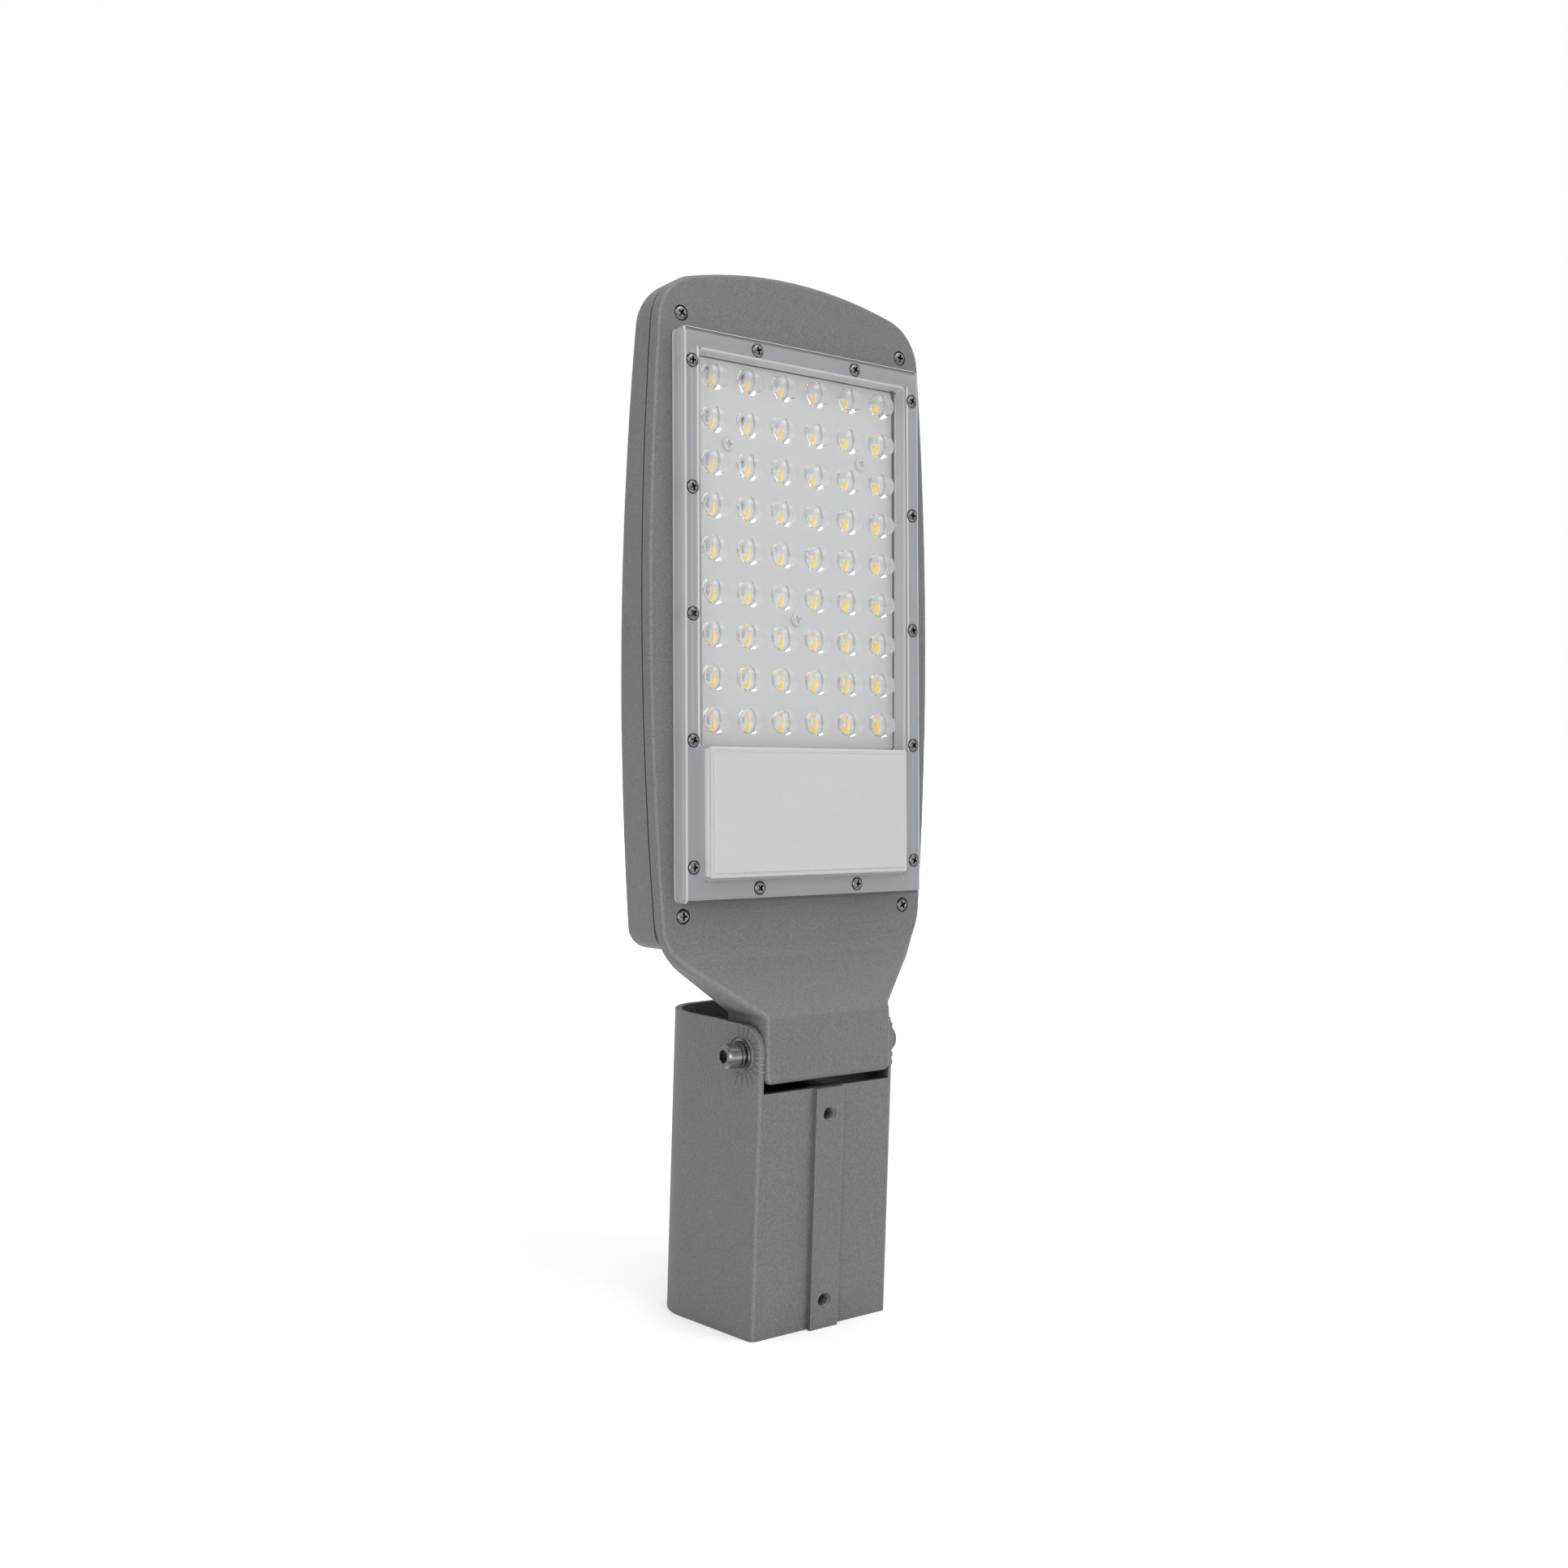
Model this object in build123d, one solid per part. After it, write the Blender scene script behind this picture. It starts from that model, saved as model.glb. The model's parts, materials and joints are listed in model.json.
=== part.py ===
from build123d import *
import os
from math import cos, radians, sin, tan

# A street-lamp head that tilts on a cast sleeve for a 50 mm pole.
# Row frame: X across the lamp, Y towards its back, Z up the pole. The origin is the centre of the
# sleeve's mouth, on the pole's axis. Millimetres throughout.
# Head frame: the same directions with the head straight up and the origin on the tilt axis.
# The whole head is then leaned back by LEAN, which is the rest pose.

os.makedirs("parts", exist_ok=True)

# ---- sleeve, in the row frame -------------------------------------------------------------------
SOCKET_R = 25.25            # bore of the guide ribs, for a 50 mm pole
SLEEVE_FRONT_Y = -31.5
SLEEVE_REAR_Y = 31.5
SLEEVE_REAR_SIDE_Y = 27.0   # where the crowned back would meet the flared sides
SLEEVE_FRONT_HALF = 34.5
SLEEVE_FLARE = 0.21         # each side widens by this much per mm towards the back
SLEEVE_REAR_R = 18.0
SLEEVE_FRONT_R = 2.4
SLEEVE_WALL = 2.6
PIVOT_Y = -22.0
PIVOT_Z = 113.9
EAR_RISE = 12.1             # top of the sleeve above the tilt axis
FRONT_WALL_DROP = 14.9      # top of the front wall below the tilt axis
EAR_R = 10.5                # rounded front corner of each ear
EAR_INNER = 32.2            # half the gap between the ears
EAR_BOSS_R = 8.5
PAD_R = 7.2                 # flat seat under the washers, on the left ear
PAD_X = 36.6
THREAD_BOSS_R = 5.2         # round boss on the right ear that takes the bolt's thread
THREAD_BOSS_X = 40.1
PIVOT_HOLE_R = 3.08         # M6 with 0.08 mm all round
FLAT_THICK = 1.2
FLAT_R = 6.5
SPRING_THICK = 1.6
SPRING_R = 5.4
BOLT_R = 3.0
BOLT_HEAD_R = 5.0
BOLT_HEAD_LENGTH = 6.0
BOLT_HEX_R = 2.9            # across the corners of the 5 mm socket
BOLT_HEX_DEPTH = 3.3
MARK_COUNT = 15
MARK_PITCH = 15.0
MARK_INNER_R = 7.8
MARK_OUTER_R = 13.0
MARK_WIDTH = 0.6
MARK_RISE = 0.45
RIB_HALF = 7.0
RIB_PROUD = 2.3
RIB_BEHIND = 2.4
TAP_R = 3.0                 # tapped M6, drawn at its outer size
TAP_MOUTH_R = 3.4
SET_SCREW_Z = (11.2, 88.0)
GUIDE_RIBS = ((0.0, 4.0), (39.0, 43.0), (77.0, 81.0))
POLE_STOP = (91.0, 93.0)
POLE_STOP_R = 19.0

# ---- head outline, in the head frame ------------------------------------------------------------
LEAN = 3.3
FACE_Y = 10.9               # front face of the casting
PARTING_Y = 15.9            # back of the casting
PARTING_GAP = 1.0
KNUCKLE_HALF = 32.0
KNUCKLE_FRONT_Y = -10.9
KNUCKLE_BOTTOM = -11.7
NECK_LOW = 14.8             # where the knuckle starts to widen and bend
NECK_HIGH = 40.2            # where the neck has widened into the body
KNUCKLE_R = 3.5
KNUCKLE_BEND_R = 2.5
NECK_R = 3.0
SHOULDER_R = 29.0
NECK_BEND_R = 4.0           # bends of the front face, seen from the side
BODY_BEND_R = 12.0
HEAD_HALF = 72.4
WIDEST_Z = 177.3
SIDE_R = 1500.0             # bow of the sides
TOP_CORNER_R = 21.0
TOP_CORNER_Z = 307.2
HEAD_TOP = 318.3
BODY_BOTTOM = 41.3
BODY_CORNER_R = 9.0
EDGE_R = 1.9
BACK_Y_AT_BOTTOM = 41.2     # back of the housing at BODY_BOTTOM
BACK_SLOPE = 2.12           # degrees; the back comes forward towards the top
BACK_EDGE_R = 6.0
HOUSING_WALL = 2.6
CASTING_WALL = 2.6
NECK_WALL = 3.0
NECK_ROOM_TOP = 37.0        # the hollow at the back of the neck
NECK_WEB_X = 17.0
NECK_WEB_HALF = 1.4
RIM_WIDTH = 7.0             # flange where casting and housing meet
RIM_DEPTH = 4.0
GROOVE_OUTER = 2.4          # gasket channel, in from the outline
GROOVE_INNER = 4.8
GROOVE_DEPTH = 1.7

# ---- lens cover and light board -----------------------------------------------------------------
RIM_HALF = 61.5
RIM_TOP = 288.5
RIM_BOTTOM = 60.6
RIM_CORNER_R = 2.5
RIM_CHAMFER = 1.3
RIM_FACE_Y = 2.9
RIM_BACK_Y = 10.6
WINDOW_HALF = 53.4
WINDOW_TOP = 280.3
WINDOW_BOTTOM = 122.2       # the window runs down to the raised box
FLOOR_Y = 8.3
FLOOR_THICK = 1.8
BOX_HALF = 51.3
BOX_TOP = 122.7
BOX_BOTTOM = 70.3
BOX_FACE_Y = 0.2
BOX_WALL = 2.0
BOX_CORNER_R = 1.5
BOX_EDGE_R = 1.0
LED_COLUMNS = 6
LED_ROWS = 9
LED_PITCH = 17.27
LED_TOP_Z = 271.7
DOME_LENGTH = 13.0
DOME_WIDTH = 10.0
DOME_HEIGHT = 4.6
BOARD_HALF = 52.6
BOARD_TOP = 279.6
BOARD_ROOM = 0.6            # the recess is larger all round
BOARD_BOTTOM = 119.5
BOARD_Y = 12.3              # front of the light board
BOARD_THICK = 1.6
PAD_THICK = 0.5
SEAT_HALF = 55.0
SEAT_BACK_Y = 17.6
COVER_SCREWS = [(side * 57.0, 74.9 + 50.0 * row) for side in (-1, 1) for row in range(5)]
COVER_SCREWS += [(side * 25.3, z) for side in (-1, 1) for z in (65.8, 283.7)]
COVER_SCREW_SEAT = 1.4      # below the rim's face
COVER_SCREW_LENGTH = 9.4
COVER_HEAD_R = 2.6
COVER_COUNTERBORE_R = 2.95
COVER_BOSS_R = 3.6
COVER_BOSS_BACK = 14.2      # just clear of the battery cells
COVER_HOLE_BACK = 13.8
BODY_SCREW_LENGTH = 13.5
BODY_SCREWS = [(side * 57.0, z) for side in (-1, 1) for z in (55.2, 295.5)]
BODY_HEAD_R = 2.9
BODY_COUNTERBORE_R = 3.2
BODY_SCREW_SEAT = 1.7       # below the casting's face
BODY_SHANK_R = 1.75
BODY_CLEAR_R = 1.95
BODY_THREAD_R = 1.8
BODY_BOSS_R = 5.0
BODY_BOSS_BACK = 29.0
BODY_HOLE_BACK = 27.5
GASKET_HALF = 55.2          # cover gasket, between the board's recess and the cover screws
GASKET_BOTTOM = 67.6
GASKET_TOP = 282.0
GASKET_WIDTH = 1.4
M3_SHANK_R = 1.45
M3_THREAD_R = 1.5           # tapped holes are drawn a little larger than the screws
M3_CLEAR_R = 1.65
M3_HEAD_R = 2.75
FIT = 0.02                  # gap left between parts that touch
BOARD_SCREWS = [(-34.54, 246.0), (34.54, 246.0), (0.0, 176.7)]

# ---- solar panel, flush in the back -------------------------------------------------------------
PANEL_HALF = 53.0
PANEL_Z = 176.0
PANEL_LENGTH = 214.0
PANEL_R = 4.0
PANEL_GAP = 0.5
GLASS_THICK = 2.2
CELL_THICK = 0.3
BACKSHEET_THICK = 0.4
SEAL_THICK = 0.5
PANEL_FLOOR = 2.0
CELL_COLUMNS = 4
CELL_ROWS = 6

# ---- battery and controller ---------------------------------------------------------------------
BATTERY_R = 9.2
BATTERY_LENGTH = 65.0
BATTERY_PITCH = 18.8
BATTERY_BOTTOM = 51.5
BATTERY_Y = 23.6
CRADLE_HALF = 42.0
CRADLE_FRONT_Y = 12.3
CRADLE_BACK_Y = 21.0
CRADLE_Z = (78.0, 114.0)
CRADLE_BAR = 7.0
FOOT_X = 48.9
FOOT_END = 52.0
FOOT_HALF = 3.5
FOOT_Y = (13.6, 15.6)
FOOT_Z = (84.0, 108.0)
POST_X = 35.5
POST_Z = (82.5, 109.5)
POST_R = 2.6
PLUG_DEPTH = 4.4
BAY_HALF = 46.5             # opening in the casting behind the raised box
BAY_Z = (76.0, 117.0)
CONTROLLER_HALF = 39.0
CONTROLLER_Z = (79.0, 113.0)
CONTROLLER_Y = 7.6
CONTROLLER_THICK = 1.6
WIRE_R = 0.65


def save(solid, node, lean=True):
    """Write one node; head pieces are carried to the tilt axis and leaned back first."""
    place = Pos(0, PIVOT_Y, PIVOT_Z) * Rot(-LEAN, 0, 0) if lean else Pos(0, 0, 0)
    placed = place * solid
    placed.label = node
    export_step(placed, f"parts/{node}.step")


def slab(sketch, front, back):
    """A sketch of X and Z made solid between two depths."""
    return Pos(0, back, 0) * Rot(90, 0, 0) * extrude(sketch, back - front)


def block(x, y, z):
    """A block between two corners given as (low, high) on each axis."""
    size = [high - low for low, high in (x, y, z)]
    centre = [(high + low) / 2 for low, high in (x, y, z)]
    return Pos(*centre) * Box(*size)


def rod_y(x, z, radius, front, back):
    """A cylinder along Y."""
    return Pos(x, (front + back) / 2, z) * Rot(90, 0, 0) * Cylinder(radius, back - front)


def rod_x(y, z, radius, left, right):
    """A cylinder along X."""
    return Pos((left + right) / 2, y, z) * Rot(0, 90, 0) * Cylinder(radius, right - left)


def rounded(width, bottom, top, radius):
    """A rectangle of X and Z centred on X, with rounded corners."""
    return Pos(0, (bottom + top) / 2) * RectangleRounded(width, top - bottom, radius)


def group(solids):
    return Compound(children=list(solids))


def corners(sketch, height):
    return [v for v in sketch.vertices() if abs(v.Y - height) < 0.01]


# ---- sleeve -------------------------------------------------------------------------------------
def sleeve_section(inset):
    """Flat front, flared sides, crowned back with large corners."""
    rear_half = SLEEVE_FRONT_HALF + SLEEVE_FLARE * (SLEEVE_REAR_SIDE_Y - SLEEVE_FRONT_Y)
    front_left = (-SLEEVE_FRONT_HALF, SLEEVE_FRONT_Y)
    front_right = (SLEEVE_FRONT_HALF, SLEEVE_FRONT_Y)
    back_right = (rear_half, SLEEVE_REAR_SIDE_Y)
    back_left = (-rear_half, SLEEVE_REAR_SIDE_Y)
    outline = Polyline(back_left, front_left, front_right, back_right)
    outline += ThreePointArc(back_right, (0, SLEEVE_REAR_Y), back_left)
    face = make_face(outline)
    face = fillet(corners(face, SLEEVE_REAR_SIDE_Y), SLEEVE_REAR_R)
    face = fillet(corners(face, SLEEVE_FRONT_Y), SLEEVE_FRONT_R)
    return offset(face, -inset) if inset else face


def guide_rib(bottom, top, radius):
    plate = extrude(sleeve_section(SLEEVE_WALL - 0.1), top - bottom)
    return Pos(0, 0, bottom) * (plate - Cylinder(radius, 3 * (top - bottom)))


def ear_corner():
    """What the rounded front corners of the ears lose."""
    y = SLEEVE_FRONT_Y + EAR_R
    z = PIVOT_Z + EAR_RISE - EAR_R
    corner = block((-60, 60), (SLEEVE_FRONT_Y - 9, y), (z, z + EAR_R + 9))
    return corner - rod_x(y, z, EAR_R, -61, 61)


def angle_marks():
    """Raised radial marks on the sides around the tilt axis, every 15 degrees."""
    length = MARK_OUTER_R - MARK_INNER_R
    middle = (MARK_OUTER_R + MARK_INNER_R) / 2
    first = -MARK_PITCH * (MARK_COUNT - 1) / 2
    fan = []
    for i in range(MARK_COUNT):
        bar = Pos(0, -middle, 0) * Box(200, length, MARK_WIDTH)
        fan.append(Pos(0, PIVOT_Y, PIVOT_Z) * Rot(first + i * MARK_PITCH, 0, 0) * bar)
    top = PIVOT_Z + EAR_RISE
    skin = extrude(sleeve_section(-MARK_RISE), top) - extrude(sleeve_section(0.4), top)
    return [skin & bar for bar in fan]


def pole_sleeve():
    top = PIVOT_Z + EAR_RISE
    front_top = PIVOT_Z - FRONT_WALL_DROP
    body = extrude(sleeve_section(0), top) - extrude(sleeve_section(SLEEVE_WALL), top)
    for side in (-1, 1):
        boss = rod_x(PIVOT_Y, PIVOT_Z, EAR_BOSS_R, side * 34.5 - 2.3, side * 34.5 + 2.3)
        body += boss & extrude(sleeve_section(0.3), top)
    for mark in angle_marks():
        body += mark
    body += rod_x(PIVOT_Y, PIVOT_Z, PAD_R, -PAD_X, 2 - PAD_X)
    body -= rod_x(PIVOT_Y, PIVOT_Z, PAD_R, -PAD_X - 4, -PAD_X)
    thread_boss = rod_x(PIVOT_Y, PIVOT_Z, THREAD_BOSS_R, EAR_INNER + 1, THREAD_BOSS_X)
    body += fillet(thread_boss.edges().sort_by(Axis.X)[-1], 0.8)
    body -= ear_corner()
    rib_y = (SLEEVE_FRONT_Y - RIB_PROUD, SLEEVE_FRONT_Y + SLEEVE_WALL + RIB_BEHIND)
    body += block((-RIB_HALF, RIB_HALF), rib_y, (0, front_top))
    gap_y = (SLEEVE_FRONT_Y - 9, SLEEVE_FRONT_Y + 9)
    body -= block((-EAR_INNER, EAR_INNER), gap_y, (front_top, top + 1))
    for bottom, rib_top in GUIDE_RIBS:
        body += guide_rib(bottom, rib_top, SOCKET_R)
    body += guide_rib(*POLE_STOP, POLE_STOP_R)
    face_y = SLEEVE_FRONT_Y - RIB_PROUD
    for z in SET_SCREW_Z:
        body -= rod_y(0, z, TAP_R, face_y - 1, SLEEVE_FRONT_Y + 9)
        mouth = Pos(0, face_y + 0.3, z) * Rot(90, 0, 0) * Cone(TAP_R, TAP_MOUTH_R, 0.7)
        body -= mouth
    return body - rod_x(PIVOT_Y, PIVOT_Z, PIVOT_HOLE_R, -60, 60)


# ---- head casting -------------------------------------------------------------------------------
def half_at(z):
    """Half-width of the bowed sides at a height."""
    return HEAD_HALF - (z - WIDEST_Z) ** 2 / (2 * SIDE_R)


def outline_above(bottom, inset=0):
    """Bowed sides and a shallow arched top, closed by a list of points from left to right."""
    low = bottom[-1]
    top = (half_at(TOP_CORNER_Z) - inset, TOP_CORNER_Z - inset)
    side = HEAD_HALF - inset
    outline = Polyline(*bottom)
    outline += ThreePointArc(low, (side, WIDEST_Z), top)
    outline += ThreePointArc(top, (0, HEAD_TOP - inset), (-top[0], top[1]))
    outline += ThreePointArc((-top[0], top[1]), (-side, WIDEST_Z), (-low[0], low[1]))
    face = make_face(outline)
    return fillet(corners(face, top[1]), TOP_CORNER_R - inset)


def head_plan(inset=0):
    """Front view of the head: the body, narrowing through the neck to the knuckle."""
    shoulder = half_at(NECK_HIGH) - inset
    knuckle = KNUCKLE_HALF - inset
    bottom = KNUCKLE_BOTTOM + inset
    neck = NECK_LOW + inset / 2
    face = outline_above([(-shoulder, NECK_HIGH + inset / 2), (-knuckle, neck), (-knuckle, bottom),
                          (knuckle, bottom), (knuckle, neck), (shoulder, NECK_HIGH + inset / 2)], inset)
    face = fillet(corners(face, NECK_HIGH + inset / 2), SHOULDER_R - inset)
    if inset:
        return face
    face = fillet(corners(face, neck), NECK_R)
    return fillet(corners(face, bottom), KNUCKLE_R)


def body_plan(inset):
    """Front view of the rear housing."""
    bottom = BODY_BOTTOM + inset
    half = half_at(BODY_BOTTOM) - inset
    face = outline_above([(-half, bottom), (half, bottom)], inset)
    return fillet(corners(face, bottom), max(BODY_CORNER_R - inset, 2.0))


def side_profile(inset):
    """Side view of the casting's front: flat face, bent neck, upright knuckle."""
    far = PARTING_Y + 10
    top = HEAD_TOP + 10
    points = [(FACE_Y, top), (FACE_Y, NECK_HIGH), (KNUCKLE_FRONT_Y, NECK_LOW),
              (KNUCKLE_FRONT_Y, KNUCKLE_BOTTOM), (far, KNUCKLE_BOTTOM), (far, top), (FACE_Y, top)]
    face = make_face(Polyline(*points))
    for height, radius in ((NECK_HIGH, BODY_BEND_R), (NECK_LOW, NECK_BEND_R), (KNUCKLE_BOTTOM, KNUCKLE_BEND_R)):
        face = fillet([v for v in face.vertices() if abs(v.Y - height) < 0.01 and v.X < far], radius)
    return offset(face, -inset) if inset else face


def screw_hole(x, z, radius, front, back):
    return rod_y(x, z, radius, front - 1, back)


def casting_shell():
    side = extrude(Plane.YZ * side_profile(0), 90, both=True)
    shell = slab(head_plan(), KNUCKLE_FRONT_Y - 5, PARTING_Y) & side
    walls = [f for f in shell.faces() if abs(f.normal_at().Y) < 0.02 and f.center().Y < PARTING_Y - 0.1]
    fronts = [f for f in shell.faces() if f.normal_at().Y < -0.3]
    front_edges = [e for f in fronts for e in f.edges()]
    wall_edges = [e for f in walls for e in f.edges()]
    above = KNUCKLE_BOTTOM + KNUCKLE_R + 0.1
    rim = [e for e in front_edges if e.bounding_box().min.Z > above and any(map(e.is_same, wall_edges))]
    return fillet(rim, EDGE_R)


def front_casting():
    body = casting_shell()
    inside = slab(body_plan(RIM_WIDTH), FACE_Y + CASTING_WALL, PARTING_Y + 1)
    body -= inside
    neck_inner = extrude(Plane.YZ * side_profile(NECK_WALL), 90, both=True)
    neck_room = slab(head_plan(NECK_WALL + 1), -9, PARTING_Y + 1) & neck_inner
    pocket_z = (KNUCKLE_BOTTOM + NECK_WALL, NECK_ROOM_TOP)
    neck_room &= block((-62, 62), (-9, PARTING_Y + 1), (13.5, pocket_z[1]))
    neck_room += block((-14, 14), (KNUCKLE_FRONT_Y + 3.2, PARTING_Y + 1), (pocket_z[0], 14.0))
    for x in (-NECK_WEB_X, NECK_WEB_X):
        neck_room -= block((x - NECK_WEB_HALF, x + NECK_WEB_HALF), (-12, PARTING_Y + 2), pocket_z)
    body -= neck_room
    body += block((-SEAT_HALF, SEAT_HALF), (FACE_Y + 1, SEAT_BACK_Y), (BAY_Z[1], RIM_TOP - 2.6))
    body += block((-14, 14), (FACE_Y + 1, PARTING_Y), (BODY_BOTTOM + 4, BODY_BOTTOM + 9))
    for x, z in COVER_SCREWS:
        body += rod_y(x, z, COVER_BOSS_R, FACE_Y + 1, COVER_BOSS_BACK)
    for x, z in BODY_SCREWS:
        body += rod_y(x, z, BODY_BOSS_R, FACE_Y + 1, PARTING_Y)
    half = BOARD_HALF + BOARD_ROOM
    room = block((-half, half), (FACE_Y - 1, BOARD_Y + BOARD_THICK + PAD_THICK),
                 (BOARD_BOTTOM - BOARD_ROOM, BOARD_TOP + BOARD_ROOM))
    body -= room
    body -= block((-BAY_HALF, BAY_HALF), (FACE_Y - 1, SEAT_BACK_Y + 1), BAY_Z)
    body -= block((-7, 7), (FACE_Y - 1, BOARD_Y + 0.9), (BAY_Z[1] - 1, BOARD_BOTTOM))
    body -= gasket_path(RIM_FACE_Y, FACE_Y + 0.9, GASKET_WIDTH + 0.2)
    for x, z in COVER_SCREWS:
        body -= screw_hole(x, z, M3_THREAD_R, FACE_Y, COVER_HOLE_BACK)
    for x, z in BODY_SCREWS:
        body -= screw_hole(x, z, BODY_CLEAR_R, FACE_Y, PARTING_Y + 1)
        body -= screw_hole(x, z, BODY_COUNTERBORE_R, FACE_Y, FACE_Y + BODY_SCREW_SEAT)
    for x, z in BOARD_SCREWS:
        body -= screw_hole(x, z, M3_THREAD_R, BOARD_Y, SEAT_BACK_Y - 0.6)
    for x, z in cradle_feet():
        body -= screw_hole(x, z, M3_THREAD_R, FACE_Y, PARTING_Y)
    return body - rod_x(0, 0, PIVOT_HOLE_R, -KNUCKLE_HALF - 2, KNUCKLE_HALF + 2)


def rear_surface(inset):
    """Everything in front of the sloped back, moved in by inset."""
    fall = tan(radians(BACK_SLOPE))
    low, high = 20.0, HEAD_TOP + 20
    back = [(BACK_Y_AT_BOTTOM - inset - fall * (z - BODY_BOTTOM), z) for z in (low, high)]
    points = [(PARTING_Y + PARTING_GAP, low), back[0], back[1], (PARTING_Y + PARTING_GAP, high)]
    return extrude(Plane.YZ * make_face(Polyline(*points, points[0])), 90, both=True)


def on_back(z, depth):
    """A place on the sloped back, depth below it, with Y pointing straight out of it."""
    y = BACK_Y_AT_BOTTOM - tan(radians(BACK_SLOPE)) * (z - BODY_BOTTOM)
    return Pos(0, y, z) * Rot(BACK_SLOPE, 0, 0) * Pos(0, -depth, 0)


def panel_layer(half, length, radius, top_depth, thick):
    """A flat layer of the panel, lying top_depth below the back's surface."""
    plate = slab(rounded(2 * half, -length / 2, length / 2, radius), -thick, 0)
    return on_back(PANEL_Z, top_depth) * plate


def rear_housing():
    front = PARTING_Y + PARTING_GAP
    shell = slab(body_plan(0), front, 60) & rear_surface(0)
    back_faces = shell.faces().sort_by(Axis.Y)[-1:]
    shell = fillet(back_faces.edges(), BACK_EDGE_R)
    room = slab(body_plan(HOUSING_WALL), front + RIM_DEPTH, 60) & rear_surface(HOUSING_WALL)
    room += slab(body_plan(RIM_WIDTH), front - 1, front + RIM_DEPTH + 1)
    stack = GLASS_THICK + CELL_THICK + BACKSHEET_THICK + SEAL_THICK
    tub_half = PANEL_HALF + PANEL_GAP + 2.2
    tub = panel_layer(tub_half, PANEL_LENGTH + 2 * PANEL_GAP + 4.4, 5, 1.0, stack + PANEL_FLOOR - 1)
    body = shell - (room - tub)
    for x, z in BODY_SCREWS:
        body += rod_y(x, z, BODY_BOSS_R, front, BODY_BOSS_BACK) & slab(body_plan(1.0), front, 60)
    body -= panel_layer(PANEL_HALF + PANEL_GAP, PANEL_LENGTH + 2 * PANEL_GAP, PANEL_R, -5, stack + 5)
    body -= on_back(PANEL_Z - 40, 0) * block((-6, 6), (-20, 1), (-3, 3))
    for x, z in BODY_SCREWS:
        body -= screw_hole(x, z, BODY_THREAD_R, front, BODY_HOLE_BACK)
    return body - gasket_groove(0)


def gasket_groove(slack):
    """Channel in the housing's flange, or the gasket in it when slack is given."""
    front = PARTING_Y + (0.03 if slack else -1)
    ring = body_plan(GROOVE_OUTER + slack) - body_plan(GROOVE_INNER - slack)
    return slab(ring, front, PARTING_Y + PARTING_GAP + GROOVE_DEPTH - slack)


def gasket_path(front, back, width):
    """A ring under the cover's rim, inside its screws."""
    outer = rounded(2 * GASKET_HALF, GASKET_BOTTOM, GASKET_TOP, 3)
    return slab(outer - offset(outer, -width), front, back)


# ---- lens cover ---------------------------------------------------------------------------------
def led_places():
    for row in range(LED_ROWS):
        for column in range(LED_COLUMNS):
            yield (column - (LED_COLUMNS - 1) / 2) * LED_PITCH, LED_TOP_Z - row * LED_PITCH


def dome():
    """One street lens: an oval cap with rounded shoulders."""
    cap = extrude(Ellipse(DOME_LENGTH / 2, DOME_WIDTH / 2), DOME_HEIGHT + 0.3)
    cap = fillet(cap.edges().sort_by(Axis.Z)[-1], 2.6)
    return Rot(90, 0, 0) * cap


def lens_cover():
    rim = slab(rounded(2 * RIM_HALF, RIM_BOTTOM, RIM_TOP, RIM_CORNER_R), RIM_FACE_Y, RIM_BACK_Y)
    front = rim.faces().sort_by(Axis.Y)[0]
    body = chamfer(front.edges(), RIM_CHAMFER)
    body -= slab(rounded(2 * WINDOW_HALF, WINDOW_BOTTOM, WINDOW_TOP, 1.5), RIM_FACE_Y - 1, FLOOR_Y)
    raised = slab(rounded(2 * BOX_HALF, BOX_BOTTOM, BOX_TOP, BOX_CORNER_R), BOX_FACE_Y, FLOOR_Y + 1)
    body += fillet(raised.faces().sort_by(Axis.Y)[0].edges(), BOX_EDGE_R)
    room = FLOOR_Y + FLOOR_THICK
    body -= slab(rounded(2 * (WINDOW_HALF - 1), WINDOW_BOTTOM + 1, WINDOW_TOP - 1, 2), room, room + 9)
    inner = rounded(2 * (BOX_HALF - BOX_WALL), BOX_BOTTOM + BOX_WALL, BOX_TOP - BOX_WALL, 2)
    body -= slab(inner, BOX_FACE_Y + BOX_WALL, room + 9)
    one = dome()
    for x, z in led_places():
        body += Pos(x, FLOOR_Y + 0.3, z) * one
    for x, z in COVER_SCREWS:
        body -= rod_y(x, z, M3_CLEAR_R, RIM_FACE_Y - 1, RIM_BACK_Y + 1)
        body -= rod_y(x, z, COVER_COUNTERBORE_R, RIM_FACE_Y - 1, RIM_FACE_Y + COVER_SCREW_SEAT)
    return body


def led_board():
    outline = rounded(2 * BOARD_HALF, BOARD_BOTTOM, BOARD_TOP, 2)
    board = slab(outline, BOARD_Y, BOARD_Y + BOARD_THICK)
    for x, z in BOARD_SCREWS:
        board -= rod_y(x, z, M3_CLEAR_R, BOARD_Y - 1, BOARD_Y + BOARD_THICK + 1)
    return board


def thermal_pad():
    outline = rounded(2 * BOARD_HALF - 2, BOARD_BOTTOM + 1, BOARD_TOP - 1, 2)
    front = BOARD_Y + BOARD_THICK + FIT
    pad = slab(outline, front, front + PAD_THICK - 2 * FIT)
    for x, z in BOARD_SCREWS:
        pad -= rod_y(x, z, 2.2, front - 1, front + PAD_THICK + 1)
    return pad


def led_chip():
    """A 3 mm light chip: body with its lens-filled cup."""
    body = block((-1.5, 1.5), (-0.7, -FIT), (-1.5, 1.5))
    cup = rod_y(0, 0, 1.2, -1, -0.55)
    return body - cup


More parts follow.
